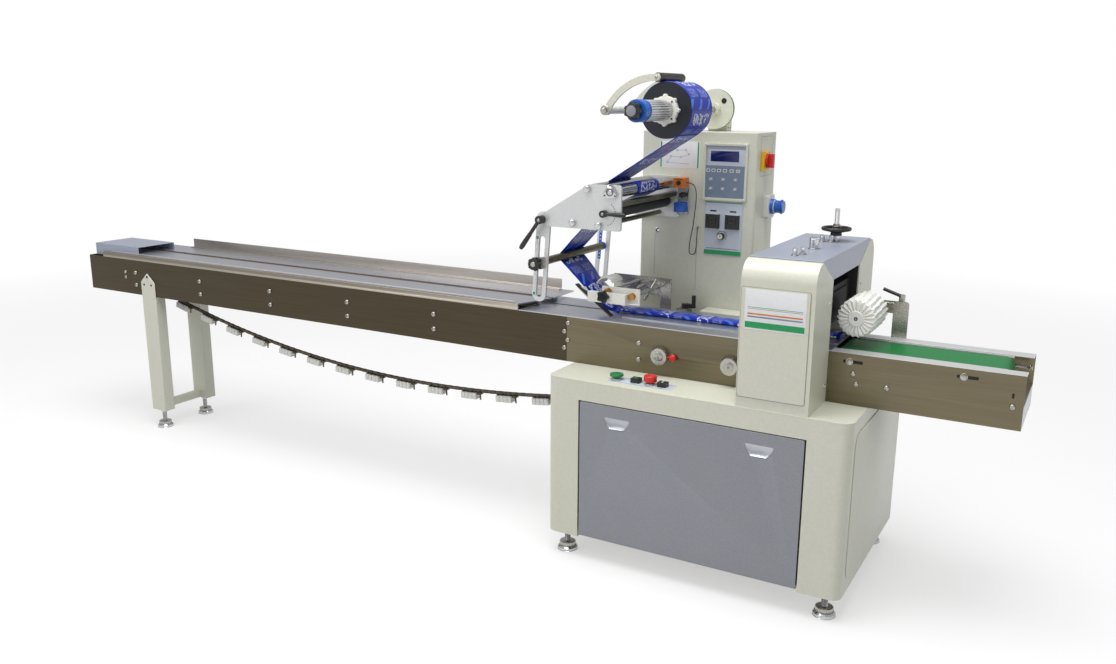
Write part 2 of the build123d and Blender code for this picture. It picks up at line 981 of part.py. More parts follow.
# Brush on its clamped arm, behind the line at the seal box outlet
brush_x = seal_x1 + brush_offset_x
brush_z = plate_top_z + brush_rise
brush_y0 = line_y + brush_front
brush_y1 = brush_y0 + brush_length
arm_pivot_x = brush_x + brush_arm_reach
arm_pivot_z = brush_z
post_y0 = line_back_y
post_y1 = post_y0 + brush_post_sheet
arm_y0 = post_y1 + arm_gap
arm_y1 = arm_y0 + brush_arm_sheet


def brush():
    bristles = rod_y(brush_x, brush_z, brush_r, brush_y0, brush_y1)
    hub = rod_y(brush_x, brush_z, brush_hub_r, brush_y0 - brush_hub_rise,
                brush_y1 + brush_hub_rise)
    shaft_y1 = arm_y1 + arm_gap
    shaft = rod_y(brush_x, brush_z, brush_shaft_r, brush_y1, shaft_y1)
    head_y1 = shaft_y1 + brush_pulley_width
    pulley = rod_y(brush_x, brush_z, brush_pulley_r, shaft_y1, head_y1)
    return fuse(bristles, hub, shaft, pulley)


def brush_arm():
    half = brush_arm_height / 2
    bar = box(brush_x, arm_pivot_x, arm_y0, arm_y1, arm_pivot_z - half, arm_pivot_z + half)
    bar = fuse(bar, rod_y(brush_x, brush_z, half, arm_y0, arm_y1),
               rod_y(arm_pivot_x, arm_pivot_z, half, arm_y0, arm_y1))
    bar -= rod_y(brush_x, brush_z, brush_shaft_r + axle_fit, arm_y0 - overrun, arm_y1 + overrun)
    bar -= rod_y(arm_pivot_x, arm_pivot_z, brush_pin_r + axle_fit, arm_y0 - overrun,
                 arm_y1 + overrun)
    return bar


def brush_post():
    half = brush_post_width / 2
    plate = box(arm_pivot_x - half, arm_pivot_x + half, post_y0, post_y1,
                base_top_z + brush_post_bottom, arm_pivot_z + half)
    plate = fillet(edges_along(plate, Axis.Y).sort_by(Axis.Z)[-2:], half / 2)
    end_y = arm_y1 + arm_gap
    pin = rod_y(arm_pivot_x, arm_pivot_z, brush_pin_r, post_y1, end_y)
    guide = rod_y(arm_pivot_x, arm_pivot_z, brush_pulley_r, end_y, end_y + brush_pulley_width)
    return fuse(plate, pin, guide)


# Black clamping lever on top of the post
def brush_clamp():
    half = brush_post_width / 2
    z0 = arm_pivot_z + half
    hub = rod_z(arm_pivot_x, (post_y0 + post_y1) / 2, clamp_hub_r, z0, z0 + clamp_hub_height)
    start = Vector(arm_pivot_x, (post_y0 + post_y1) / 2, z0 + clamp_hub_height - clamp_r)
    end = Vector(arm_pivot_x - clamp_reach, start.Y, start.Z + clamp_rise)
    return hub + bar_between(start, end, clamp_r)


def bar_between(start, end, r):
    direction = end - start
    plane = Plane(origin=start, z_dir=direction)
    return plane * Pos(0, 0, direction.length / 2) * Cylinder(r, direction.length)


# Adjusting knobs on the main side plate, the first with a red ball on a short lever
knob_places = (infeed_end_x + left_knob_offset, seal_x0 - right_knob_offset)


def plate_knob(index, with_ball):
    x = knob_places[index]
    z = base_top_z + knob_z_offset
    y1 = line_y - seat_gap
    knob = rod_y(x, z, knob_r, y1 - knob_height, y1)
    knob -= rod_y(x, z, knob_stub_r + axle_fit, y1 - knob_stub - seat_gap, y1 + overrun)
    if with_ball:
        y = y1 - knob_height / 2
        lever = rod_x(y, z, knob_lever_r, x + knob_r - knob_lever_r, x + knob_lever_reach)
        ball = Pos(x + knob_lever_reach, y, z) * Sphere(knob_ball_r)
        knob = fuse(knob, lever, ball)
    return knob


def knob_stubs():
    z = base_top_z + knob_z_offset
    return [rod_y(x, z, knob_stub_r, line_y - knob_stub, line_y) for x in knob_places]


# Crank on the rear side plate of the main deck
crank_x = infeed_end_x + crank_x_offset
crank_y = line_back_y + crank_y_offset
crank_z = plate_top_z + deck_sheet + crank_lift


def crank_bearing():
    half = crank_block / 2
    block = box(crank_x - half, crank_x + half, line_back_y, crank_y + half,
                crank_z - crank_block_height, crank_z)
    pin = rod_z(crank_x, crank_y, crank_shaft_r, crank_z, crank_z + crank_hub_height)
    return block + pin


def rear_crank():
    z0 = crank_z + seat_gap
    z1 = z0 + crank_hub_height
    hub = rod_z(crank_x, crank_y, crank_hub_r, z0, z1)
    arm = box(crank_x, crank_x + crank_reach, crank_y - crank_arm_width / 2,
              crank_y + crank_arm_width / 2, z0, z1)
    end = rod_z(crank_x + crank_reach, crank_y, crank_arm_width / 2, z0, z1)
    grip = rod_z(crank_x + crank_reach, crank_y, crank_grip_r, z1, z1 + crank_grip_height)
    crank = fuse(hub, arm, end, grip)
    return crank - rod_z(crank_x, crank_y, crank_shaft_r + axle_fit, z0 - overrun, z1 + overrun)


# Buttons on the ledge
label_x0 = base_x0 + label_x_offset
label_y = front_y + label_front + label_width / 2


def button_label():
    plate = box(label_x0, label_x0 + label_length, label_y - label_width / 2,
                label_y + label_width / 2, base_top_z, base_top_z + label_sheet)
    for index in (0, 2):
        x = label_x0 + button_offsets[index]
        z = base_top_z + label_sheet
        plate += rod_z(x, label_y, button_collar_r, z, z + button_collar_height)
    for index in (0, 2):
        x = label_x0 + button_offsets[index]
        plate -= rod_z(x, label_y, button_stem_r + button_fit, base_top_z - overrun,
                       base_top_z + label_sheet + button_collar_height + overrun)
    return plate


def push_button(index, cap_r, cap_height):
    x = label_x0 + button_offsets[index]
    collar_top = base_top_z + label_sheet + button_collar_height
    stem = rod_z(x, label_y, button_stem_r, base_top_z - button_stem_depth,
                 collar_top + button_stem_rise)
    cap = rod_z(x, label_y, cap_r, collar_top + button_stem_rise,
                collar_top + button_stem_rise + cap_height)
    cap = fillet(cap.edges().sort_by(Axis.Z)[-1:], cap_height / 3)
    return stem + cap


def selector_buttons():
    solids = []
    for index in (1, 3):
        x = label_x0 + button_offsets[index]
        z = base_top_z + label_sheet
        solids.append(box(x - selector_length / 2, x + selector_length / 2,
                          label_y - selector_width / 2, label_y + selector_width / 2, z,
                          z + selector_height))
    return solids


# Control cabinet on the base, with its panels
def control_cabinet():
    body = box(cabinet_x0, cabinet_x1, cabinet_y0, cabinet_back_y, base_top_z, cabinet_top_z)
    body = fillet(edges_along(body, Axis.Z), cabinet_edge_r)
    switch_y = cabinet_y0 + switch_y_offset
    switch_z = cabinet_top_z - switch_drop
    body -= rod_x(switch_y, switch_z, switch_hole_r, cabinet_x1 - overrun, cabinet_x1 + overrun)
    return body


hmi_x0 = cabinet_x0 + hmi_offset
hmi_z0 = base_top_z + hmi_bottom


def operator_panel():
    frame = box(hmi_x0, hmi_x0 + hmi_length, cabinet_y0 - hmi_rise, cabinet_y0, hmi_z0,
                hmi_z0 + hmi_height)
    recess = box(hmi_x0 + hmi_frame, hmi_x0 + hmi_length - hmi_frame, cabinet_y0 - hmi_rise - overrun,
                 cabinet_y0 - hmi_rise + hmi_recess, hmi_z0 + hmi_frame,
                 hmi_z0 + hmi_height - hmi_frame)
    return frame - recess


def operator_screen():
    y1 = cabinet_y0 - hmi_rise + hmi_recess
    x0 = hmi_x0 + screen_left
    z1 = hmi_z0 + hmi_height - screen_top_drop
    return box(x0, x0 + screen_length, y1 - hmi_recess / 2, y1, z1 - screen_height, z1)


heater_x0 = cabinet_x0 + heater_panel_offset
heater_z0 = base_top_z + heater_panel_bottom


def heater_panel():
    return box(heater_x0, heater_x0 + heater_panel_length, cabinet_y0 - heater_panel_rise,
               cabinet_y0, heater_z0, heater_z0 + heater_panel_height)


def temperature_controllers():
    y1 = cabinet_y0 - heater_panel_rise
    z0 = heater_z0 + controller_bottom
    solids = [box(heater_x0 + offset, heater_x0 + offset + controller_size,
                  y1 - controller_rise, y1, z0, z0 + controller_size)
              for offset in controller_offsets]
    solids.append(rod_y(heater_x0 + dial_offset, heater_z0 + dial_bottom, dial_r,
                        y1 - dial_rise, y1))
    return solids


switch_y = cabinet_y0 + switch_y_offset
switch_z = cabinet_top_z - switch_drop


def switch_plate_solid():
    half = switch_plate / 2
    plate = box(cabinet_x1, cabinet_x1 + switch_plate_rise, switch_y - half, switch_y + half,
                switch_z - half, switch_z + half)
    return plate - rod_x(switch_y, switch_z, switch_hole_r, cabinet_x1 - overrun,
                         cabinet_x1 + switch_plate_rise + overrun)


def main_switch_handle():
    x0 = cabinet_x1 + switch_plate_rise + seat_gap
    x1 = x0 + switch_disc_height
    disc = rod_x(switch_y, switch_z, switch_r, x0, x1)
    grip = box(x1, x1 + switch_grip_height, switch_y - switch_grip_width / 2,
               switch_y + switch_grip_width / 2, switch_z - switch_grip_length / 2,
               switch_z + switch_grip_length / 2)
    pin = rod_x(switch_y, switch_z, switch_pin_r, cabinet_x1 - overrun / 2, x0)
    return fuse(disc, grip, pin)


socket_y = cabinet_y0 + socket_y_offset
socket_z = cabinet_top_z - socket_drop


def side_socket():
    base = box(cabinet_x1, cabinet_x1 + socket_rise, socket_y - socket_width / 2,
               socket_y + socket_width / 2, socket_z - socket_height / 2,
               socket_z + socket_height / 2)
    return fillet(edges_along(base, Axis.X), cabinet_edge_r)


def side_plug():
    x0 = cabinet_x1 + socket_rise
    body = rod_x(socket_y, socket_z, plug_cap_r, x0, x0 + plug_cap_length)
    barrel = rod_x(socket_y, socket_z, plug_r, x0 + plug_cap_length, x0 + plug_length)
    return body + barrel


# Film unit: two plates with bars and rollers between them, held on the cabinet front
def unit_point(place):
    return (base_x0 + place[0], base_top_z + place[1])


def unit_plate(y0):
    outline = [unit_point(place) for place in unit_outline]
    plate = prism_y(outline, y0, y0 + unit_plate_sheet)
    return fillet(edges_along(plate, Axis.Y), unit_corner_r)


inner_y0 = unit_y0 + unit_plate_sheet
inner_y1 = unit_y1 - unit_plate_sheet


def bar_across(place, r):
    x, z = unit_point(place)
    return rod_y(x, z, r, inner_y0, inner_y1)


def roller_across(place, r):
    x, z = unit_point(place)
    body = rod_y(x, z, r, inner_y0 + journal_length, inner_y1 - journal_length)
    return body + rod_y(x, z, journal_r, inner_y0, inner_y1)


def unit_bars():
    x, z = unit_point(square_bar_place)
    square = box(x - square_bar_width / 2, x + square_bar_width / 2, inner_y0, inner_y1,
                 z - square_bar_height / 2, z + square_bar_height / 2)
    return [bar_across(top_bar_place, top_bar_r), bar_across(lower_bar_place, lower_bar_r),
            bar_across(exit_bar_place, lower_bar_r), square]


def chrome_roller():
    return roller_across(bearing_place, chrome_roller_r)


def rubber_roller():
    return roller_across(rubber_roller_place, rubber_roller_r)


# Dome nuts on the outer face of the front plate, and the bearing cap of the feed roller
def unit_nuts():
    nuts = []
    for place in (top_bar_place, lower_bar_place, exit_bar_place):
        x, z = unit_point(place)
        nut = rod_y(x, z, nut_r, unit_y0 - nut_rise, unit_y0)
        nuts.append(fillet(nut.edges().sort_by(Axis.Y)[:1], nut_r / 2))
    x, z = unit_point(bearing_place)
    nuts.append(rod_y(x, z, bearing_cap_r, unit_y0 - bearing_cap_rise, unit_y0))
    x, z = unit_point(nip_lever_place)
    nuts.append(rod_y(x, z, nip_pin_r, unit_y0 - nip_hub_rise / 2, unit_y0))
    return nuts


def nip_lever():
    x, z = unit_point(nip_lever_place)
    y1 = unit_y0 - seat_gap
    hub = rod_y(x, z, nip_hub_r, y1 - nip_hub_rise, y1)
    y = y1 - nip_hub_rise + nip_lever_r
    arm = rod_x(y, z, nip_lever_r, x, x + nip_lever_reach)
    lever = hub + arm
    return lever - rod_y(x, z, nip_pin_r + nip_pin_fit, y1 - nip_hub_rise / 2 - seat_gap,
                         y1 + overrun)


# Slotted links that hang from the unit and hold the dancer bar
link_top = unit_point(link_top_place)
link_bottom = unit_point(link_bottom_place)
link_lean = atan2(link_top[0] - link_bottom[0], link_top[1] - link_bottom[1])
link_span = hypot(link_top[0] - link_bottom[0], link_top[1] - link_bottom[1])


def along_link(distance):
    return (link_top[0] - distance * sin(link_lean), link_top[1] - distance * cos(link_lean))


def slot_body(top, bottom, width, y0, y1):
    middle = ((top[0] + bottom[0]) / 2, (top[1] + bottom[1]) / 2)
    span = hypot(top[0] - bottom[0], top[1] - bottom[1])
    bar = Pos(middle[0], (y0 + y1) / 2, middle[1]) * Rot(0, degrees(link_lean), 0) * Box(
        width, y1 - y0, span)
    return fuse(bar, rod_y(top[0], top[1], width / 2, y0, y1),
                rod_y(bottom[0], bottom[1], width / 2, y0, y1))


def slotted_link(y0):
    half = link_width / 2
    body = slot_body(link_top, along_link(link_span - half), link_width, y0, y0 + link_sheet)
    slot_top = along_link(link_slot_top + link_slot_width / 2)
    slot_low = along_link(link_span - link_slot_bottom - link_slot_width / 2)
    return body - slot_body(slot_top, slot_low, link_slot_width, y0 - overrun,
                            y0 + link_sheet + overrun)


dancer = along_link(link_span * dancer_drop_share)
link_front_y = inner_y0
link_back_y = inner_y1 - link_sheet


def dancer_bar():
    x, z = dancer
    y0 = link_front_y + link_sheet
    bar = rod_y(x, z, dancer_r, y0, link_back_y)
    collars = [rod_y(x, z, dancer_collar_r, y0, y0 + dancer_collar_length),
               rod_y(x, z, dancer_collar_r, link_back_y - dancer_collar_length, link_back_y)]
    studs = rod_y(x, z, dancer_stud_r, link_front_y, link_back_y + link_sheet)
    return fuse(bar, studs, *collars)


def dancer_clamp():
    x, z = dancer
    half = clamp_block / 2
    y1 = link_front_y
    block = box(x - half, x + half, y1 - clamp_block_rise, y1, z - half, z + half)
    return block


def dancer_knob():
    x, z = dancer
    y1 = link_front_y - clamp_block_rise
    return rod_y(x, z, star_knob_r, y1 - star_knob_rise, y1)


def link_lever():
    x, z = link_top
    y1 = unit_y0
    hub = rod_y(x, z, link_lever_hub_r, y1 - link_lever_rise, y1)
    end_x = x - link_lever_reach * sin(radians(link_lever_lean))
    end_z = z - link_lever_reach * cos(radians(link_lever_lean))
    y = y1 - link_lever_rise + link_lever_r
    return hub + bar_between(Vector(x, y, z), Vector(end_x, y, end_z), link_lever_r)



# The film runs in straight spans from the roll, over the unit's rollers, round the dancer bar
# and down to the former. side is 1 where it turns anticlockwise in X and Z, -1 clockwise.
roll_x = base_x0 + roll_x_offset
roll_z = cabinet_top_z + roll_z_rise


def tangent_points(start, end):
    (x0, z0, r0, side0), (x1, z1, r1, side1) = start, end
    dx = x1 - x0
    dz = z1 - z0
    span = hypot(dx, dz)
    turn = asin((side0 * r0 - side1 * r1) / span)
    heading = atan2(dz, dx) + turn
    normal = (sin(heading), -cos(heading))
    first = (x0 + side0 * r0 * normal[0], z0 + side0 * r0 * normal[1])
    second = (x1 + side1 * r1 * normal[0], z1 + side1 * r1 * normal[1])
    return first, second, heading


def film_stops():
    stops = [(roll_x, roll_z, roll_r, -1)]
    rollers = ((top_bar_place, top_bar_r, 1), (bearing_place, chrome_roller_r, -1),
               (exit_bar_place, lower_bar_r, 1))
    for place, r, side in rollers:
        x, z = unit_point(place)
        stops.append((x, z, r, side))
    stops.append((dancer[0], dancer[1], dancer_r, 1))
    return [(x, z, r + film_gap + film_sheet / 2, side) for x, z, r, side in stops]


def film_strip(first, second, y0, y1):
    dx = second[0] - first[0]
    dz = second[1] - first[1]
    span = hypot(dx, dz)
    nx = -dz / span * film_sheet / 2
    nz = dx / span * film_sheet / 2
    outline = ((first[0] + nx, first[1] + nz), (second[0] + nx, second[1] + nz),
               (second[0] - nx, second[1] - nz), (first[0] - nx, first[1] - nz))
    return prism_y(outline, y0, y1)


def film_wrap(stop, angle0, angle1, y0, y1):
    x, z, r, side = stop
    inner = []
    outer = []
    for index in range(wrap_steps + 1):
        angle = angle0 + (angle1 - angle0) * index / wrap_steps
        for ring, ring_r in ((inner, r - film_sheet / 2), (outer, r + film_sheet / 2)):
            ring.append((x + ring_r * cos(angle), z + ring_r * sin(angle)))
    return prism_y(inner + outer[::-1], y0, y1)


def film_path():
    stops = film_stops()
    spans = [tangent_points(stops[index], stops[index + 1]) for index in range(len(stops) - 1)]
    return stops, spans


def wrap_between(stop, heading0, heading1):
    side = stop[3]
    angle0 = heading0 - side * pi / 2
    angle1 = heading1 - side * pi / 2
    while side * (angle1 - angle0) < 0:
        angle1 += side * 2 * pi
    return angle0, angle1


def former_point():
    return unit_point(former_entry)


def last_heading():
    x, z, r, side = film_stops()[-1]
    target = former_point()
    return tangent_points((x, z, r, side), (target[0], target[1], 0, side))


def film_web_upper():
    stops, spans = film_path()
    first, second, heading = spans[0]
    return film_strip(first, second, film_y0, film_y1)


def film_web_unit():
    stops, spans = film_path()
    solids = []
    for index in range(1, len(spans)):
        first, second, heading = spans[index]
        solids.append(film_strip(first, second, film_y0, film_y1))
        angle0, angle1 = wrap_between(stops[index], spans[index - 1][2], heading)
        solids.append(film_wrap(stops[index], angle0, angle1, film_y0, film_y1))
    angle0, angle1 = wrap_between(stops[-1], spans[-1][2], last_heading()[2])
    solids.append(film_wrap(stops[-1], angle0, angle1, film_y0, film_y1))
    return fuse(*solids)


# The last span narrows towards the former, where the film starts to fold
def film_web_lower():
    first, second, heading = last_heading()
    y_mid = (film_y0 + film_y1) / 2
    half = film_width / 2
    end_half = tube_width / 2 + fold_height
    corners = [(first[0], y_mid - half, first[1]), (first[0], y_mid + half, first[1]),
               (second[0], y_mid + end_half, second[1]), (second[0], y_mid - end_half, second[1])]
    fold = [(second[0], y_mid - end_half, second[1]), (second[0], y_mid + end_half, second[1]),
            (tube_x0 - film_sheet, y_mid + tube_width / 2, tube_z0 + tube_height / 2),
            (tube_x0 - film_sheet, y_mid - tube_width / 2, tube_z0 + tube_height / 2)]
    return sheet(corners, film_sheet) + sheet(fold, film_sheet)


# Edge sensor on a clear plate that is bolted to the inside of the back plate
def edge_sensor():
    y1 = inner_y1
    y0 = y1 - sensor_plate_sheet
    x0 = base_x0 + sensor_plate_start
    z0 = base_top_z + sensor_plate_bottom
    plate = box(x0, x0 + sensor_plate_length, y0, y1, z0, z0 + sensor_plate_height)
    head_x0 = base_x0 + sensor_head_start
    head_z0 = base_top_z + sensor_head_bottom
    head = box(head_x0, head_x0 + sensor_head_length, y0 - sensor_head_depth, y0, head_z0,
               head_z0 + sensor_head_height)
    slide_x0 = base_x0 + sensor_slide_start
    slide_z0 = base_top_z + sensor_slide_bottom
    slide = box(slide_x0, slide_x0 + sensor_slide_length, y0 - sensor_slide_depth, y0, slide_z0,
                slide_z0 + sensor_slide_height)
    knob = rod_y(base_x0 + sensor_knob_x, base_top_z + sensor_knob_z, sensor_knob_r,
                 y0 - sensor_knob_length, y0)
    return fuse(plate, head, slide, knob)


# Thin cable that hangs in a loop from the sensor to a gland on the cabinet front.
# Each point is its distance from the sensor's cable exit along X, Y and Z.
cable_start = (base_x0 + sensor_head_start + sensor_head_length,
               inner_y1 - sensor_plate_sheet - sensor_head_depth / 2,
               base_top_z + sensor_head_bottom + sensor_head_height / 2)
cable_route = ((0, 0, 0), (22, 0, 0), (34, 4, -22), (33, 9, -58), (27, 14, -100),
               (22, 18, -142), (14, 19, -180), (10, 19, -212), (10, 19, -238), (32, 19, -238),
               (35, 19, -212), (36, 19, -182), (36.5, 19, -160), (36, 19, -146), (36, 29, -146))
gland_r = 7


def cable_points():
    return [Vector(*[start + step for start, step in zip(cable_start, point)])
            for point in cable_route]


def cable_radii(points):
    radii = []
    for before, corner, after in zip(points, points[1:], points[2:]):
        first = corner - before
        second = after - corner
        turn = radians(first.get_angle(second))
        shorter = min(first.length, second.length)
        radii.append(cable_arc_share * shorter / tan(turn / 2))
        print("cable run", round(first.length, 1), "turn", round(degrees(turn), 1), "radius",
              round(radii[-1], 1))
    return radii


def sensor_cable():
    points = cable_points()
    path = FilletPolyline(*points, radius=cable_radii(points))
    section = Plane(origin=points[0], z_dir=points[1] - points[0]) * Circle(cable_r)
    tube = sweep(section, path=path)
    print("cable length", round(path.length, 1), "volume over section times length",
          round(tube.volume / (pi * cable_r ** 2 * path.length), 4))
    return tube


def cable_gland():
    end = cable_points()[-1]
    return rod_y(end.X, end.Z, gland_r, end.Y, cabinet_y0)


# Film reel on a mandrel held by the box on the cabinet top
roll_y0 = line_y + roll_front
roll_y1 = roll_y0 + film_width
unwind_box_y1 = cabinet_back_y - unwind_box_back
unwind_box_y0 = unwind_box_y1 - unwind_box_depth


def film_roll():
    bore = rod_y(roll_x, roll_z, core_r - core_wall, roll_y0 - overrun, roll_y1 + overrun)
    return rod_y(roll_x, roll_z, roll_r, roll_y0, roll_y1) - bore


# Lobed end plugs that centre the roll's core on the mandrel
def reel_plug(y0, inward):
    plug_y1 = y0 + inward * hub_sheet
    plug = rod_y(roll_x, roll_z, core_r - core_wall, min(y0, plug_y1), max(y0, plug_y1))
    face_y = y0 - inward * hub_sheet
    face = rod_y(roll_x, roll_z, hub_r, min(face_y, y0), max(face_y, y0))
    for index in range(hub_lobe_count):
        angle = 2 * pi * index / hub_lobe_count
        face += rod_y(roll_x + hub_r * cos(angle), roll_z + hub_r * sin(angle), hub_lobe_r,
                      min(face_y, y0), max(face_y, y0))
    return plug + face


sleeve_y1 = roll_y0 - hub_sheet
sleeve_y0 = sleeve_y1 - sleeve_length
collar_y0 = sleeve_y0 - collar_length


def mandrel():
    shaft = rod_y(roll_x, roll_z, mandrel_r, collar_y0, unwind_box_y1)
    sleeve = rod_y(roll_x, roll_z, sleeve_r, sleeve_y0, sleeve_y1)
    collar = rod_y(roll_x, roll_z, collar_r, collar_y0, sleeve_y0)
    return fuse(shaft, sleeve, collar, reel_plug(roll_y0, 1), reel_plug(roll_y1, -1))


def reel_knob():
    y0 = collar_y0 - reel_knob_length
    return rod_y(roll_x, roll_z, reel_knob_r, y0, collar_y0)


def brake_disc():
    y1 = unwind_box_y0 - brake_gap
    y0 = y1 - brake_sheet
    disc = rod_y(roll_x, roll_z, brake_r, y0, y1)
    hub = rod_y(roll_x, roll_z, brake_hub_r, y0 - brake_sheet, y1 + brake_gap / 2)
    return fuse(disc, hub) - rod_y(roll_x, roll_z, mandrel_r, front_y, cabinet_back_y)


def unwind_box():
    half = unwind_box_length / 2
    body = box(roll_x - half, roll_x + half, unwind_box_y0, unwind_box_y1, cabinet_top_z,
               roll_z + unwind_box_over)
    return body - rod_y(roll_x, roll_z, mandrel_r + mandrel_box_fit, unwind_box_y0 - overrun,
                        unwind_box_y1 + overrun)


# Tension arms: two curved plates on a tube, with a roller that rests on the film roll
pivot_x = roll_x - arm_pivot_dx
pivot_z = roll_z - arm_pivot_drop
tension_x = roll_x - arm_roller_dx
tension_span = roll_r + arm_roller_r + arm_roller_gap
tension_z = roll_z + sqrt(tension_span ** 2 - arm_roller_dx ** 2)
arm_front_y0 = roll_y0 - arm_side_gap - arm_sheet
arm_back_y0 = roll_y1 + arm_side_gap
arm_steps = 12


def curved_arm(y0):
    dx = tension_x - pivot_x
    dz = tension_z - pivot_z
    chord = hypot(dx, dz)
    curve_r = (chord ** 2 / 4 + arm_bulge ** 2) / (2 * arm_bulge)
    mid_x = (pivot_x + tension_x) / 2
    mid_z = (pivot_z + tension_z) / 2
    away = curve_r - arm_bulge
    centre_x = mid_x + dz / chord * away
    centre_z = mid_z - dx / chord * away
    angle0 = atan2(pivot_z - centre_z, pivot_x - centre_x)
    angle1 = atan2(tension_z - centre_z, tension_x - centre_x)
    if angle0 < 0:
        angle0 += 2 * pi
    inner = []
    outer = []
    for index in range(arm_steps + 1):
        angle = angle0 + (angle1 - angle0) * index / arm_steps
        for ring, r in ((inner, curve_r - arm_width / 2), (outer, curve_r + arm_width / 2)):
            ring.append((centre_x + r * cos(angle), centre_z + r * sin(angle)))
    y1 = y0 + arm_sheet
    blade = prism_y(inner + outer[::-1], y0, y1)
    return fuse(blade, rod_y(pivot_x, pivot_z, arm_boss_r, y0, y1),
                rod_y(tension_x, tension_z, arm_width / 2, y0, y1))


def tension_arms():
    tube = rod_y(pivot_x, pivot_z, arm_tube_r, arm_front_y0, arm_back_y0 + arm_sheet)
    bore = rod_y(pivot_x, pivot_z, arm_pin_r + arm_tube_fit, arm_front_y0 - overrun,
                 arm_back_y0 + arm_sheet + overrun)
    return fuse(curved_arm(arm_front_y0), curved_arm(arm_back_y0), tube) - bore


def tension_roller():
    return rod_y(tension_x, tension_z, arm_roller_r, arm_front_y0 + arm_sheet, arm_back_y0)


def tension_shaft():
    rear_y = unwind_box_y1 - arm_post_depth
    shaft = rod_y(pivot_x, pivot_z, arm_pin_r, arm_front_y0 - arm_sheet, rear_y)
    head = rod_y(pivot_x, pivot_z, arm_tube_r, arm_front_y0 - arm_sheet,
                 arm_front_y0 - seat_gap)
    sleeve = rod_y(pivot_x, pivot_z, arm_tube_r, arm_back_y0 + arm_sheet + seat_gap, rear_y)
    return fuse(shaft, head, sleeve)


def tension_post():
    half = arm_post_width / 2
    rear_y = unwind_box_y1 - arm_post_depth
    return box(pivot_x - half, pivot_x + half, rear_y, unwind_box_y1, cabinet_top_z,
               pivot_z + arm_post_over)


# Former that folds the film into a tube
def former_bar():
    x0 = base_x0 + former_bar_start
    y0 = line_y + former_bar_front
    z0 = base_top_z + former_bar_bottom
    return box(x0, x0 + former_bar_length, y0, y0 + former_bar_depth, z0,
               z0 + former_bar_height)


def former_plate():
    x0 = base_x0 + former_plate_start
    y0 = line_y + former_plate_back - former_plate_sheet
    z0 = base_top_z + former_plate_bottom
    plate = box(x0, x0 + former_plate_length, y0, y0 + former_plate_sheet, z0,
                z0 + former_plate_height)
    return plate


def bush_point(place):
    return (base_x0 + place[0], base_top_z + place[1])


former_bracket_y0 = line_y + former_bracket_y


def former_shafts():
    shafts = []
    for place in bush_places:
        x, z = bush_point(place)
        shafts.append(rod_y(x, z, former_shaft_r, line_y + former_plate_back,
                            former_bracket_y0))
    return shafts


def former_bushes():
    y1 = line_y + former_plate_back - former_plate_sheet
    bushes = []
    for place in bush_places:
        x, z = bush_point(place)
        bushes.append(rod_y(x, z, bush_r, y1 - bush_length, y1))
    return bushes


def former_bracket():
    x0 = base_x0 + former_bracket_start
    x1 = x0 + former_bracket_length
    z0 = base_top_z + former_bracket_bottom
    y1 = former_bracket_y0 + former_bracket_sheet
    wall = box(x0, x1, former_bracket_y0, y1, z0, z0 + former_bracket_height)
    foot = box(x1 - former_foot_length, x1, former_bracket_y0, y1, base_top_z, z0)
    return wall + foot


def former_knob():
    x = base_x0 + former_knob_x
    z = base_top_z + former_knob_z
    y1 = line_y + former_bar_front
    return rod_y(x, z, former_knob_r, y1 - former_knob_length, y1)


# A block joins the bar to the plate behind it at their shared end
def former_link():
    x1 = base_x0 + former_bar_start + former_bar_length
    z0 = base_top_z + former_bar_bottom
    y0 = line_y + former_bar_front + former_bar_depth
    y1 = line_y + former_plate_back - former_plate_sheet
    return box(x1 - former_bar_depth, x1, y0, y1, z0, z0 + former_bar_depth)


os.makedirs("parts", exist_ok=True)

save("base_front", base_front())
save("base_left_side", base_side(-1))
save("base_right_side", base_side(1))
save("base_back", base_back())
save("base_floor", base_floor())
save("base_top", base_top())
save("base_door", base_door())
base_foot_x = (base_x0 + base_foot_inset, base_x1 - base_foot_inset)
base_foot_y = (front_y + base_foot_inset, back_y - base_foot_inset)
leg_x = (leg_x0 + leg_x1) / 2
leg_foot_y = (line_y + leg_depth / 2, line_back_y - leg_depth / 2)
save("levelling_feet",
     *[levelling_foot(x, y, base_bottom_z) for x in base_foot_x for y in base_foot_y],
     *[levelling_foot(leg_x, y, leg_bottom_z) for y in leg_foot_y])
save("leg_frame", fuse(leg(-1), leg(1), leg_cross_bar()))
save("infeed_side_plates", line_plate(x_left, infeed_end_x, line_y),
     line_plate(x_left, infeed_end_x, line_back_y - plate_sheet))
save("infeed_ties", infeed_end_plate(), *infeed_ties())
save("main_side_plates", fuse(line_plate(infeed_end_x, discharge_x, line_y), *knob_stubs()),
     line_plate(infeed_end_x, discharge_x, line_back_y - plate_sheet))
save("infeed_table", table_half(line_y, slot_y0, 0, table_end_skew),
     table_half(slot_y1, table_back_y, table_end_skew, table_end_skew),
     *table_strips(line_y, slot_y0), *table_strips(slot_y1, line_back_y))
save("back_guide_rail", back_guide_rail())
save("tail_cover", tail_cover())
save("pusher_chain", fuse(pusher_chain(), *chain_carriers()))
save("tail_sprocket", tail_sprocket())
save("main_deck", fuse(main_deck(), channel(-1), channel(1)))
save("rear_drive_housing", rear_drive_housing())
save("discharge_side_plates", discharge_plate(-1), discharge_plate(1))
save("discharge_belt", discharge_belt())
save("discharge_bed", *discharge_rollers(), discharge_bed(), discharge_end_plate())
save("seal_covers", seal_cover(-1), seal_cover(1))
save("seal_roof", seal_roof())
save("seal_jaw_housing", seal_jaw_housing())
save("roof_posts", *roof_posts(), height_screw())
save("handwheel", handwheel())
save("brush", brush())
save("brush_arm", brush_arm())
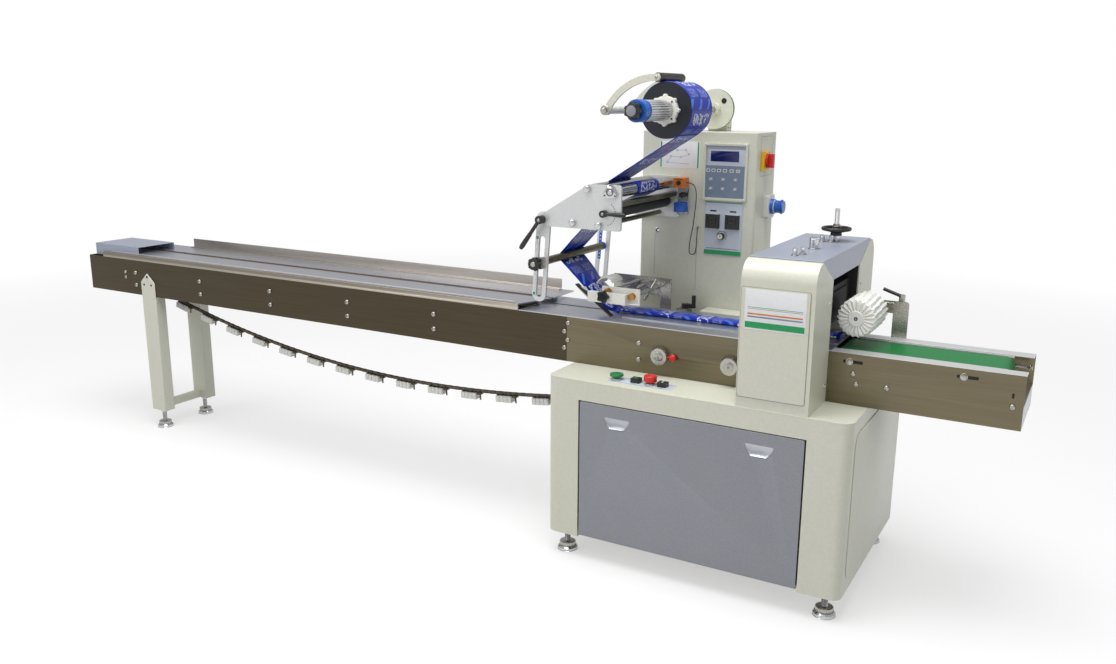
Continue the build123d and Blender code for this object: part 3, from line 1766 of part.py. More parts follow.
save("rear_brackets", fuse(brush_post(), brush_clamp()), crank_bearing())
save("plate_knob_left", plate_knob(0, True))
save("plate_knob_right", plate_knob(1, False))
save("rear_crank", rear_crank())
save("button_panel", fuse(button_label(), *selector_buttons()))
save("green_button", push_button(0, green_cap_r, green_cap_height))
save("red_button", push_button(2, red_cap_r, red_cap_height))
save("control_cabinet", control_cabinet())
save("cabinet_panels", fuse(operator_panel(), operator_screen()),
     fuse(heater_panel(), *temperature_controllers()), cable_gland())
save("side_fittings", switch_plate_solid(), side_socket() + side_plug())
save("main_switch_handle", main_switch_handle())
save("unit_plates", fuse(unit_plate(unit_y0), *unit_nuts(), link_lever()),
     unit_plate(unit_y1 - unit_plate_sheet))
save("unit_rollers", *unit_bars(), chrome_roller(), rubber_roller())
save("nip_lever", nip_lever())
save("slotted_links", slotted_link(link_front_y), slotted_link(link_back_y))
save("dancer_bar", fuse(dancer_bar(), dancer_clamp(), dancer_knob()))
save("edge_sensor", edge_sensor())
save("sensor_cable", sensor_cable())
save("film_web_upper", film_web_upper())
save("film_web_unit", film_web_unit())
save("film_web_lower", film_web_lower())
save("film_tube", film_tube())
save("former_head", fuse(former_bar(), former_link(), former_plate(), *former_bushes(),
                         former_knob()))
save("former_bracket", fuse(former_bracket(), *former_shafts()))
save("unwind_brackets", unwind_box(), fuse(tension_post(), tension_shaft()))
save("film_roll", film_roll())
save("mandrel", mandrel())
save("reel_knob", reel_knob())
save("brake_disc", brake_disc())
save("tension_arms", fuse(tension_arms(), tension_roller()))
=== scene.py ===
import json
import math

import bmesh
import bpy
from mathutils import Matrix, Vector, noise

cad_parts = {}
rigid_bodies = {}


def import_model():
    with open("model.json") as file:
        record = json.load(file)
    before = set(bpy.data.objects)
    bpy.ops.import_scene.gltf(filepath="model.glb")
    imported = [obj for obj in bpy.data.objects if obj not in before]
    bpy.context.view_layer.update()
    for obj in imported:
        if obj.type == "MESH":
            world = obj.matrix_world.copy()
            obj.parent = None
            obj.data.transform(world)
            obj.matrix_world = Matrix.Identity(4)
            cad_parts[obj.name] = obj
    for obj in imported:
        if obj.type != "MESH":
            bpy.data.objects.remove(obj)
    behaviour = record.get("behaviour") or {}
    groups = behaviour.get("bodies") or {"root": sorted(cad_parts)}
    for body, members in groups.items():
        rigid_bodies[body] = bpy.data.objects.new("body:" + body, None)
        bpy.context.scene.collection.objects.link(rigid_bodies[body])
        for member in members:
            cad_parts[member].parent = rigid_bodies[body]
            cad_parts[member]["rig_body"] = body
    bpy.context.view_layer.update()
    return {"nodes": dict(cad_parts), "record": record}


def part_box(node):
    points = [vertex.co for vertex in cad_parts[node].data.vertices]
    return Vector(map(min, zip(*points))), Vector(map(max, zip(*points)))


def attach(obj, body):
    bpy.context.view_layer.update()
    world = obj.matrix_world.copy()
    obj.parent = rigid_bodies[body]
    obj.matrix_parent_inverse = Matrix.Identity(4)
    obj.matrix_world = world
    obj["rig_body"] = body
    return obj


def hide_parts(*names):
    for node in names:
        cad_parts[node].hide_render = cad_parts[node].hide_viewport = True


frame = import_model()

# Horizontal flow wrapper, dressed around its fixed frame. Blender works in metres, and places
# here are in millimetres: X along the line to the discharge end, Y to the back, Z up
scene = bpy.context.scene
sceneCollection = scene.collection


def hexColour(code):
    values = [int(code[start:start + 2], 16) / 255 for start in (0, 2, 4)]
    linear = [v / 12.92 if v <= 0.04045 else ((v + 0.055) / 1.055) ** 2.4 for v in values]
    return (*linear, 1.0)


# Adds one node. Settings go to its sockets, or to its own properties, and links join sockets
def addNode(tree, kind, settings=None, links=None):
    node = tree.nodes.new(kind)
    for key, value in (settings or {}).items():
        if isinstance(key, int) or key in node.inputs:
            node.inputs[key].default_value = value
        else:
            setattr(node, key, value)
    for key, source in (links or {}).items():
        tree.links.new(source, node.inputs[key])
    return node


# A material whose node tree is still empty
def emptyMaterial(name):
    material = bpy.data.materials.new(name)
    material.use_nodes = True
    material.node_tree.nodes.clear()
    return material, material.node_tree


# A finish from its settings: two tones mixed by a fine grain, patches that dirty it, a bump
def finish(name, settings):
    material, tree = emptyMaterial(name)
    roughSpread = settings.get("roughSpread", 0.06)
    place = addNode(tree, "ShaderNodeTexCoord").outputs["Object"]
    stretched = addNode(tree, "ShaderNodeMapping", {"Scale": settings.get("stretch", (1, 1, 1))},
                        {"Vector": place})
    grain = addNode(tree, "ShaderNodeTexNoise",
                    {"Scale": 1000 / settings["grainMm"], "Detail": 3.0, "Roughness": 0.6},
                    {"Vector": stretched.outputs[0]})
    patches = addNode(tree, "ShaderNodeTexNoise",
                      {"Scale": 1000 / settings.get("patchMm", 300), "Detail": 4.0,
                       "Roughness": 0.55}, {"Vector": place})
    spread = addNode(tree, "ShaderNodeMapRange", {"From Min": 0.3, "From Max": 0.7},
                     {"Value": grain.outputs["Fac"]})
    tone = addNode(tree, "ShaderNodeMix",
                   {"data_type": "RGBA", 6: hexColour(settings["light"]),
                    7: hexColour(settings["dark"])}, {0: spread.outputs[0]})
    patchSpread = addNode(tree, "ShaderNodeMapRange",
                          {"From Min": 0.45, "From Max": 0.75, "To Max": settings.get("dirt", 0.15)},
                          {"Value": patches.outputs["Fac"]})
    dirtied = addNode(tree, "ShaderNodeMix",
                      {"data_type": "RGBA", 7: hexColour(settings.get("dirtTone", "8A8374"))},
                      {0: patchSpread.outputs[0], 6: tone.outputs[2]})
    gloss = addNode(tree, "ShaderNodeMapRange",
                    {"To Min": settings["rough"] - roughSpread,
                     "To Max": settings["rough"] + roughSpread},
                    {"Value": spread.outputs[0]})
    bump = addNode(tree, "ShaderNodeBump",
                   {"Strength": settings.get("bump", 0.1),
                    "Distance": settings.get("bumpMm", 0.1) / 1000},
                   {"Height": grain.outputs["Fac"]})
    shader = addNode(tree, "ShaderNodeBsdfPrincipled",
                     {"Metallic": settings.get("metal", 0.0)},
                     {"Base Color": dirtied.outputs[2], "Roughness": gloss.outputs[0],
                      "Normal": bump.outputs[0]})
    for key, value in settings.get("shader", {}).items():
        shader.inputs[key].default_value = value
    addNode(tree, "ShaderNodeOutputMaterial", None, {"Surface": shader.outputs[0]})
    return material


finishes = {
    # Baked enamel on sheet steel: smooth, a soft gloss, faint orange peel and handling marks
    "creamEnamel": {"light": "D9DACB", "dark": "D3D4C4", "grainMm": 9, "patchMm": 420, "dirt": 0.10,
                    "dirtTone": "B9B59C", "rough": 0.38, "roughSpread": 0.04, "bump": 0.12,
                    "bumpMm": 0.15, "shader": {"IOR": 1.5, "Coat Weight": 0.15}},
    # Metallic hammer paint on the flap door and covers: grey with fine flakes
    "greyEnamel": {"light": "9A9CA3", "dark": "83858D", "grainMm": 2.2, "patchMm": 260, "dirt": 0.12,
                   "dirtTone": "777A85", "rough": 0.42, "metal": 0.25, "bump": 0.25, "bumpMm": 0.2,
                   "shader": {"IOR": 1.5}},
    # Stainless sheet brushed along the line: long fine streaks, drawn coarser so that they show. Its
    # dark bronze tone is a painted reflection of dark surroundings
    "brushedStainless": {"light": "7C745F", "dark": "756D58", "stretch": (0.02, 1, 1), "grainMm": 5,
                         "patchMm": 900, "dirt": 0.15, "dirtTone": "665E4C", "rough": 0.35,
                         "roughSpread": 0.03, "metal": 1.0, "bump": 0.03, "bumpMm": 0.1},
    # The same sheet on the infeed, a little rougher and painted darker: a painted reflection, dimmer
    # at the infeed end
    "darkStainless": {"light": "534B3C", "dark": "4D4537", "stretch": (0.02, 1, 1), "grainMm": 5,
                      "patchMm": 900, "dirt": 0.12, "dirtTone": "4C4538", "rough": 0.38,
                      "roughSpread": 0.03, "metal": 1.0, "bump": 0.03, "bumpMm": 0.1},
    # Lighter stainless of small brackets and bolts
    "brightStainless": {"light": "BDBBB4", "dark": "A6A39B", "grainMm": 3, "rough": 0.27,
                        "metal": 1.0, "bump": 0.05},
    # Aluminium table sheet, rolled and worn by sliding packs along X
    "tableAluminium": {"light": "C6C9D0", "dark": "B6B9C1", "stretch": (0.02, 1, 1), "grainMm": 7,
                       "patchMm": 500, "dirt": 0.12, "dirtTone": "96938D", "rough": 0.32,
                       "roughSpread": 0.06, "metal": 0.9, "bump": 0.06},
    # Natural anodised aluminium plate: pale, even, slightly matt
    "anodisedAluminium": {"light": "DCDDDD", "dark": "CFD0D1", "grainMm": 2, "dirt": 0.08,
                          "dirtTone": "AFAFAF", "rough": 0.42, "metal": 0.55, "bump": 0.05},
    # Hard-chromed rollers, screws and feet: mirror-like, a little bluish
    "chromePlate": {"light": "D2D3D5", "dark": "C6C7CA", "grainMm": 30, "dirt": 0.1,
                    "dirtTone": "8E8C88", "rough": 0.12, "roughSpread": 0.03, "metal": 1.0,
                    "bump": 0.02},
    # Oiled roller chain steel: dark, greasy
    "oiledSteel": {"light": "6B655A", "dark": "4A453D", "grainMm": 6, "dirt": 0.3,
                   "dirtTone": "35312B", "rough": 0.42, "metal": 1.0, "bump": 0.15},
    # Olive anodised guide bars
    "oliveAnodised": {"light": "6D6A55", "dark": "5B5846", "stretch": (1, 0.05, 1), "grainMm": 4,
                      "dirt": 0.1, "rough": 0.3, "metal": 0.8, "bump": 0.05},
    # PVC conveyor belting: deep green, smooth face with a slight weave from its back
    "greenBelting": {"light": "0B7A3C", "dark": "086A33", "grainMm": 2.5, "patchMm": 120,
                     "dirt": 0.1, "dirtTone": "3A6B50", "rough": 0.4, "bump": 0.12, "bumpMm": 0.2,
                     "shader": {"IOR": 1.4, "Specular IOR Level": 0.35}},
    # Nylon: milky white, faint tool marks
    "whiteNylon": {"light": "EFEEE9", "dark": "E2E1DA", "grainMm": 4, "dirt": 0.2,
                   "dirtTone": "C9C5B6", "rough": 0.5, "bump": 0.1,
                   "shader": {"IOR": 1.53, "Subsurface Weight": 0.05}},
    # Nylon bristle folds of the brush and the chain's carriers: clean white
    "brushNylon": {"light": "FAFAF6", "dark": "EDEDE6", "grainMm": 3, "dirt": 0.1,
                   "dirtTone": "D8D6CC", "rough": 0.55, "bump": 0.12,
                   "shader": {"IOR": 1.53, "Subsurface Weight": 0.05}},
    # Aluminium lip of the table, warm grey from wear and oil
    "warmAluminium": {"light": "BDB5A8", "dark": "AFA79A", "stretch": (0.02, 1, 1), "grainMm": 6,
                      "patchMm": 500, "dirt": 0.15, "dirtTone": "7D7364", "rough": 0.38,
                      "metal": 0.9, "bump": 0.04},
    # Stainless guide rail behind the table, warm and half matt
    "warmStainless": {"light": "C6BFB8", "dark": "B8B1A9", "stretch": (0.02, 1, 1), "grainMm": 5,
                      "patchMm": 700, "dirt": 0.12, "dirtTone": "807868", "rough": 0.34,
                      "metal": 1.0, "bump": 0.04},
    # Darker cream for the seams between cream panels, and for a painted shadow line round the seal
    # cover's raised panel
    "seamAndShadowCream": {"light": "A9A998", "dark": "A2A291", "grainMm": 6, "rough": 0.5, "bump": 0.05,
                  "shader": {"IOR": 1.5}},
    # Moulded phenolic and nylon handles: black, fine grained
    "blackPhenolic": {"light": "1B1B1C", "dark": "121213", "grainMm": 1.5, "dirt": 0.1,
                      "dirtTone": "343434", "rough": 0.42, "bump": 0.15,
                      "shader": {"IOR": 1.55}},
    # Nitrile sleeve of the nip roller and feet: black, matt
    "nitrileRubber": {"light": "242424", "dark": "1A1A1A", "grainMm": 2, "dirt": 0.15,
                      "dirtTone": "3A3936", "rough": 0.6, "bump": 0.3, "shader": {"IOR": 1.52}},
    # Printed membrane of the operator panel
    "panelFoil": {"light": "7A8A9C", "dark": "748497", "grainMm": 8, "dirt": 0.05,
                  "dirtTone": "667588", "rough": 0.45, "bump": 0.02, "shader": {"IOR": 1.5}},
    "paleFoil": {"light": "C9D0DB", "dark": "C3CAD6", "grainMm": 8, "dirt": 0.06,
                 "dirtTone": "AEB6C2", "rough": 0.42, "bump": 0.02, "shader": {"IOR": 1.5}},
    "greenFoil": {"light": "1E9A5A", "dark": "1B9155", "grainMm": 8, "dirt": 0.05,
                  "dirtTone": "177A48", "rough": 0.42, "bump": 0.02, "shader": {"IOR": 1.5}},
    "displayBlue": {"light": "121D66", "dark": "0F1959", "grainMm": 8, "dirt": 0.05,
                    "dirtTone": "0B1240", "rough": 0.12, "bump": 0.0, "shader": {"IOR": 1.5}},
    # Unlit digits of the temperature controllers
    "digitGrey": {"light": "4C5148", "dark": "474C43", "grainMm": 8, "rough": 0.3, "bump": 0.0,
                  "shader": {"IOR": 1.5}},
    "signFoil": {"light": "F0F1F2", "dark": "EAEBED", "grainMm": 10, "dirt": 0.05,
                 "dirtTone": "D5D7DA", "rough": 0.32, "bump": 0.01, "shader": {"IOR": 1.5}},
    # Sintered bronze bushes
    "bronze": {"light": "B98D4C", "dark": "A67B3E", "grainMm": 2, "dirt": 0.15,
               "dirtTone": "6E5229", "rough": 0.35, "metal": 1.0, "bump": 0.08},
    # Kraft paper core of the film roll
    "kraftPaper": {"light": "B08A5A", "dark": "9C784B", "grainMm": 2, "dirt": 0.1,
                   "dirtTone": "7A5D3A", "rough": 0.8, "bump": 0.2, "shader": {"IOR": 1.45}},
    # Matt black of black parts, marks and the jaw housing; the sheets inside the seal box and the
    # plugs in slots and holes are painted shade
    "mattBlack": {"light": "1A1A1B", "dark": "101011", "grainMm": 6, "dirt": 0.1,
                  "dirtTone": "2B2A28", "rough": 0.7, "bump": 0.1, "shader": {"IOR": 1.5}},
    # Thin steel covers with a blue-grey stoving paint
    "blueGreyEnamel": {"light": "A2A8B8", "dark": "979DAE", "grainMm": 3, "patchMm": 240,
                       "dirt": 0.1, "dirtTone": "7F8492", "rough": 0.36, "metal": 0.2,
                       "bump": 0.12, "bumpMm": 0.15, "shader": {"IOR": 1.5}},
    # Wear strips of phenolic cloth laminate beside the table's slot: brown, dull
    "brownLaminate": {"light": "6B4A33", "dark": "553A28", "grainMm": 3, "dirt": 0.2,
                      "dirtTone": "3A2A1E", "rough": 0.55, "bump": 0.15, "shader": {"IOR": 1.5}},
}
# Moulded ABS of buttons and switches: an even gloss in two near tones, a little handling dirt.
# Each has its tones, how much dirt and in which tone, and its roughness
absFinishes = {
    "greenAbs": ("12804A", "0E7443", 0.05, "8A8374", 0.28),
    "redAbs": ("D3251E", "C31D18", 0.05, "8A1512", 0.26),
    "yellowAbs": ("F0C313", "E4B60E", 0.05, "8A8374", 0.3),
    "blueAbs": ("2166C8", "1A58B4", 0.05, "153F80", 0.28),
    "whiteAbs": ("E9E9E6", "E1E1DD", 0.08, "8A8374", 0.32),
    "orangeAbs": ("D9781C", "C96B16", 0.1, "8A8374", 0.35),
}
for name, (light, dark, dirt, dirtTone, rough) in absFinishes.items():
    finishes[name] = {"light": light, "dark": dark, "grainMm": 3, "dirt": dirt,
                      "dirtTone": dirtTone, "rough": rough, "bump": 0.03,
                      "shader": {"IOR": 1.53}}
paint = {name: finish(name, settings) for name, settings in finishes.items()}
print("finishes made", len(paint))


# Pieces are shaped in millimetres. Each shape stands on its own XY plane, and the side that it
# faces gives the way its X, Y and Z point on the machine
sides = {"front": ((1, 0, 0), (0, 0, 1), (0, -1, 0)), "back": ((-1, 0, 0), (0, 0, 1), (0, 1, 0)),
         "right": ((0, 1, 0), (0, 0, 1), (1, 0, 0)), "left": ((0, -1, 0), (0, 0, 1), (-1, 0, 0)),
         "up": ((1, 0, 0), (0, 1, 0), (0, 0, 1)), "down": ((1, 0, 0), (0, -1, 0), (0, 0, -1))}


def facing(side, x, y, z, turn=0):
    axes = Matrix(sides[side]).transposed().to_4x4()
    return Matrix.Translation((x, y, z)) @ axes @ Matrix.Rotation(math.radians(turn), 4, "Z")


# Stands a shape's Z axis along the way from start to end
def along(start, end):
    way = Vector(end) - Vector(start)
    return Matrix.Translation(start) @ way.to_track_quat("Z", "Y").to_matrix().to_4x4()


# Moves a place along its own axes
def shifted(place, x, y, z=0):
    return place @ Matrix.Translation((x, y, z))


def distance(start, end):
    return (Vector(end) - Vector(start)).length


def bevelled(bm, edges, width, segments=2):
    if width > 0:
        bmesh.ops.bevel(bm, geom=edges, offset=width, segments=segments, affect="EDGES",
                        profile=0.5, material=-1)
    return bm


def block(length, width, height, edge=0.6, segments=2):
    bm = bmesh.new()
    bmesh.ops.create_cube(bm, size=1)
    bmesh.ops.scale(bm, vec=(length, width, height), verts=bm.verts)
    bmesh.ops.translate(bm, vec=(0, 0, height / 2), verts=bm.verts)
    return bevelled(bm, bm.edges[:], edge, segments)


# Turns a profile of radius and height round Z
def turned(profile, steps=32):
    bm = bmesh.new()
    corners = [bm.verts.new((r, 0, z)) for r, z in profile]
    lines = [bm.edges.new(pair) for pair in zip(corners, corners[1:])]
    bmesh.ops.spin(bm, geom=corners + lines, axis=(0, 0, 1), cent=(0, 0, 0), angle=2 * math.pi,
                   steps=steps, use_merge=True)
    bmesh.ops.remove_doubles(bm, verts=bm.verts, dist=0.001)
    return bm


def rod(r, length, edge=0.6, steps=28):
    return turned(((0, 0), (r - edge, 0), (r, edge), (r, length - edge), (r - edge, length),
                   (0, length)), steps)


def ring(inner, outer, height, edge=0.4, steps=36):
    return turned(((inner, 0), (outer - edge, 0), (outer, edge), (outer, height - edge),
                   (outer - edge, height), (inner, height), (inner, 0)), steps)


# Screws and nuts, as shares of their own radius and height
boltLook = {"threadFoot": 0.86, "threadSteps": 20, "headHeight": 0.6, "headSteps": 18,
            "head": ((0, 0), (1, 0), (1, 0.35), (0.82, 0.8), (0.5, 1), (0.4, 1), (0.36, 0.5),
                     (0, 0.5)),
            "washerR": 1.25, "washerHeight": 0.2, "washerEdge": 0.3, "washerSteps": 24,
            "nutEdge": 0.5}


# A rod with a screw thread, drawn as a stack of ridges
def threaded(r, length, pitch):
    foot = r * boltLook["threadFoot"]
    profile = [(0, 0)]
    for index in range(int(length / pitch)):
        profile += [(foot, index * pitch), (r, (index + 0.5) * pitch)]
    return turned(profile + [(foot, length), (0, length)], boltLook["threadSteps"])


def raised(bm, height, edge, segments=2):
    grown = bmesh.ops.extrude_face_region(bm, geom=bm.faces[:], use_keep_orig=True)
    tops = [item for item in grown["geom"] if isinstance(item, bmesh.types.BMVert)]
    bmesh.ops.translate(bm, vec=(0, 0, height), verts=tops)
    bmesh.ops.recalc_face_normals(bm, faces=bm.faces)
    rims = [line for line in bm.edges if abs(line.verts[0].co.z - line.verts[1].co.z) < 0.001]
    return bevelled(bm, rims, edge, segments)


# A disc with finger lobes, as on star knobs, core plugs and knurled rims
def lobedDisc(r, lobes, depth, height, edge=1.0):
    bm = bmesh.new()
    bmesh.ops.create_circle(bm, cap_ends=True, radius=r, segments=lobes * 6)
    for vert in bm.verts:
        turn = math.atan2(vert.co.y, vert.co.x)
        vert.co.xy *= 1 + depth / r * math.cos(lobes * turn)
    return raised(bm, height, edge)


def flatPlate(corners, height, edge=0.4):
    bm = bmesh.new()
    bm.faces.new([bm.verts.new((x, y, 0)) for x, y in corners])
    return raised(bm, height, edge)


# A low rounded rectangle, for labels, panels, seams and chain plates
def tab(length, width, height, corner, edge=0.15, cornerSteps=5):
    bm = bmesh.new()
    bmesh.ops.create_grid(bm, x_segments=1, y_segments=1, size=0.5)
    bmesh.ops.scale(bm, vec=(length, width, 1), verts=bm.verts)
    bmesh.ops.bevel(bm, geom=bm.verts[:], offset=corner, segments=cornerSteps,
                    affect="VERTICES", profile=0.5, material=-1)
    return raised(bm, height, edge)


# A rounded rectangle with an open middle, as a seam line or a frame
def hoop(length, width, line, height, corner):
    bm = bmesh.new()
    bmesh.ops.create_grid(bm, x_segments=1, y_segments=1, size=0.5)
    bmesh.ops.scale(bm, vec=(length, width, 1), verts=bm.verts)
    bmesh.ops.bevel(bm, geom=bm.verts[:], offset=corner, segments=5, affect="VERTICES",
                    profile=0.5, material=-1)
    middle = bm.faces[:]
    bmesh.ops.inset_region(bm, faces=middle, thickness=line, use_even_offset=True,
                           use_boundary=True)
    bmesh.ops.delete(bm, geom=middle, context="FACES")
    return raised(bm, height, 0)


# A part of a ring, from one angle to another
def ringPart(inner, outer, start, end, height, steps=16):
    turns = [math.radians(start + (end - start) * index / steps) for index in range(steps + 1)]
    outside = [(outer * math.cos(turn), outer * math.sin(turn)) for turn in turns]
    inside = [(inner * math.cos(turn), inner * math.sin(turn)) for turn in reversed(turns)]
    return flatPlate(outside + inside, height, 0)


# A round tube through points, closed into a loop where loop is true
def tube(points, r, loop=False, sides=10):
    bm = bmesh.new()
    rings = []
    count = len(points)
    for index, point in enumerate(points):
        before = points[index - 1] if index or loop else point
        after = points[(index + 1) % count] if index < count - 1 or loop else point
        turn = (Vector(after) - Vector(before)).to_track_quat("Z", "Y").to_matrix().to_4x4()
        made = bmesh.ops.create_circle(bm, segments=sides, radius=r,
                                       matrix=Matrix.Translation(point) @ turn)
        rings.append([line for line in bm.edges
                      if all(end in made["verts"] for end in line.verts)])
    pairs = list(zip(rings, rings[1:])) + ([(rings[-1], rings[0])] if loop else [])
    for first, second in pairs:
        bmesh.ops.bridge_loops(bm, edges=first + second)
    if not loop:
        bmesh.ops.holes_fill(bm, edges=bm.edges[:], sides=sides)
    return bm


# Button-head screw with a hexagon socket
def screwHead(r, height=None):
    height = height or r * boltLook["headHeight"]
    return turned([(r * across, height * up) for across, up in boltLook["head"]],
                  boltLook["headSteps"])


# Hexagon nut on a washer
def hexNut(r, height):
    bm = rod(r * boltLook["washerR"], height * boltLook["washerHeight"], boltLook["washerEdge"],
             boltLook["washerSteps"])
    nut = bmesh.new()
    bmesh.ops.create_circle(nut, cap_ends=True, radius=r, segments=6)
    fasten(bm, raised(nut, height, boltLook["nutEdge"]))
    return bm


# Adds a shape to a piece, at a place, in one of the piece's finishes
def fasten(piece, shape, finishIndex=0, place=None):
    if place is not None:
        bmesh.ops.transform(shape, matrix=place, verts=shape.verts)
    bmesh.ops.recalc_face_normals(shape, faces=shape.faces)
    for face in shape.faces:
        face.material_index = finishIndex
    held = bpy.data.meshes.new("held")
    shape.to_mesh(held)
    shape.free()
    piece.from_mesh(held)
    bpy.data.meshes.remove(held)


# Screws of one size, each facing from its side of the machine
def screws(piece, head, places, finishIndex=0):
    for place in places:
        fasten(piece, screwHead(*head), finishIndex, facing(*place))


# Angles, in degrees, and lengths that hold for every mesh
meshRules = {"smoothUpTo": 38, "bevelFrom": 40, "flatUpTo": 1.5, "mergeMm": 0.01}


# Makes a piece of a mesh and hands it to its body
def newPiece(name, mesh, body, slotName, *materials):
    for material in materials:
        mesh.materials.append(material)
    mesh.shade_smooth()
    mesh.set_sharp_from_angle(angle=math.radians(meshRules["smoothUpTo"]))
    piece = bpy.data.objects.new(name, mesh)
    sceneCollection.objects.link(piece)
    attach(piece, body)
    return piece


# Turns a finished shape from millimetres to metres and makes it a piece
def closePiece(name, bm, body, slotName, *finishNames):
    bmesh.ops.scale(bm, vec=(0.001, 0.001, 0.001), verts=bm.verts)
    mesh = bpy.data.meshes.new(name)
    bm.to_mesh(mesh)
    bm.free()
    return newPiece(name, mesh, body, slotName, *[paint[finishName] for finishName in finishNames])


# Lowest and highest corner of a frame node, in millimetres
def nodeBox(node):
    low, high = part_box(node)
    return Vector(low) * 1000, Vector(high) * 1000


# A copy of a frame node with its sharp edges softened, which stands for the node. Faces whose
# middle lies in a region, in millimetres, take that region's finish
def softened(node, widthMm, finishName, regions=()):
    source = frame["nodes"][node]
    bm = bmesh.new()
    bm.from_mesh(source.data)
    names = [finishName]
    for face in bm.faces:
        face.material_index = 0
    for regionFinish, low, high in regions:
        if regionFinish not in names:
            names.append(regionFinish)
        for face in bm.faces:
            middle = face.calc_center_median() * 1000
            if all(low[axis] <= middle[axis] <= high[axis] for axis in range(3)):
                face.material_index = names.index(regionFinish)
    bmesh.ops.remove_doubles(bm, verts=bm.verts, dist=meshRules["mergeMm"] / 1000)
    bmesh.ops.dissolve_limit(bm, angle_limit=math.radians(meshRules["flatUpTo"]),
                             verts=bm.verts, edges=bm.edges, delimit={"MATERIAL"})
    mesh = bpy.data.meshes.new(node + "Soft")
    bm.to_mesh(mesh)
    bm.free()
    piece = newPiece(node + "Soft", mesh, source["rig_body"], slotOf[node],
                     *[paint[name] for name in names])
    if widthMm:
        edge = piece.modifiers.new("edge", "BEVEL")
        edge.width = widthMm / 1000
        edge.segments = 2
        edge.limit_method = "ANGLE"
        edge.angle_limit = math.radians(meshRules["bevelFrom"])
        edge.harden_normals = False
    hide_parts(node)
    return piece


# Film for snack packs, gravure printed polypropylene: glossy deep blue with rows of short white
# bars, mottled silver patches and light streaks. It reads the film's own map, in metres
def printedFilm(name, look):
    material, tree = emptyMaterial(name)
    flat = addNode(tree, "ShaderNodeUVMap", {"uv_map": "film"}).outputs[0]
    parts = addNode(tree, "ShaderNodeSeparateXYZ", None, {0: flat})
    repeats = addNode(tree, "ShaderNodeMath",
                      {"operation": "DIVIDE", 1: look["repeatMm"] / 1000}, {0: parts.outputs["X"]})
    phase = addNode(tree, "ShaderNodeMath", {"operation": "FRACT"}, {0: repeats.outputs[0]})
    across = addNode(tree, "ShaderNodeMath",
                     {"operation": "DIVIDE", 1: look["widthMm"] / 1000}, {0: parts.outputs["Y"]})
    bars = addNode(tree, "ShaderNodeTexBrick",
                   {"Scale": 84.0, "Brick Width": 0.8, "Row Height": 0.6, "Mortar Size": 0.09,
                    "Mortar Smooth": 0.2, "Bias": 0.05, "Color1": (1, 1, 1, 1),
                    "Color2": (0, 0, 0, 1), "Mortar": (0, 0, 0, 1), "offset": 0.37},
                   {"Vector": flat})
    mottle = addNode(tree, "ShaderNodeTexNoise", {"Scale": 160.0, "Detail": 3.0},
                     {"Vector": flat})
    streaks = addNode(tree, "ShaderNodeTexWave",
                      {"Scale": 9.0, "Distortion": 2.5, "Detail": 2.0,
                       "bands_direction": "DIAGONAL"}, {"Vector": flat})
    tones = addNode(tree, "ShaderNodeTexNoise", {"Scale": 22.0, "Detail": 2.0}, {"Vector": flat})
    ground = addNode(tree, "ShaderNodeMix",
                     {"data_type": "RGBA", 6: hexColour(look["deep"]), 7: hexColour(look["blue"])},
                     {0: tones.outputs["Fac"]})
    colour = ground.outputs[2]
    # Each motif: its pattern, where it starts to show, its place along and across, its colour
    motifs = ((streaks.outputs["Fac"], 0.84, 0.86, 0.12, 0.5, 0.5, look["streak"]),
              (mottle.outputs["Fac"], 0.5, 0.58, 0.12, 0.27, 0.17, look["silver"]),
              (mottle.outputs["Fac"], 0.5, 0.58, 0.12, 0.74, 0.17, look["silver"]),
              (bars.outputs["Color"], 0.42, 0.22, 0.14, 0.5, 0.36, look["white"]))
    for pattern, threshold, place, reach, side, sideReach, tone in motifs:
        shows = addNode(tree, "ShaderNodeMath", {"operation": "GREATER_THAN", 1: threshold},
                        {0: pattern})
        inRow = addNode(tree, "ShaderNodeMath", {"operation": "COMPARE", 1: place, 2: reach},
                        {0: phase.outputs[0]})
        inColumn = addNode(tree, "ShaderNodeMath",
                           {"operation": "COMPARE", 1: side, 2: sideReach}, {0: across.outputs[0]})
        inRowShown = addNode(tree, "ShaderNodeMath", {"operation": "MULTIPLY"},
                             {0: shows.outputs[0], 1: inRow.outputs[0]})
        mask = addNode(tree, "ShaderNodeMath", {"operation": "MULTIPLY"},
                       {0: inRowShown.outputs[0], 1: inColumn.outputs[0]})
        colour = addNode(tree, "ShaderNodeMix", {"data_type": "RGBA", 7: hexColour(tone)},
                         {0: mask.outputs[0], 6: colour}).outputs[2]
    creases = addNode(tree, "ShaderNodeTexNoise", {"Scale": 45.0, "Detail": 3.0},
                      {"Vector": flat})
    bump = addNode(tree, "ShaderNodeBump", {"Strength": 0.35, "Distance": 0.0008},
                   {"Height": creases.outputs["Fac"]})
    shader = addNode(tree, "ShaderNodeBsdfPrincipled",
                     {"Roughness": look["rough"], "IOR": 1.4, "Specular IOR Level": 0.35},
                     {"Base Color": colour, "Normal": bump.outputs[0]})
    addNode(tree, "ShaderNodeOutputMaterial", None, {"Surface": shader.outputs[0]})
    return material


filmLook = {"repeatMm": 132, "widthMm": 160, "deep": "081A86", "blue": "0F38C4",
            "streak": "4F7FDC", "silver": "7686C0", "white": "E6EAF6", "rough": 0.3}
paint["printedFilm"] = printedFilm("printedFilm", filmLook)


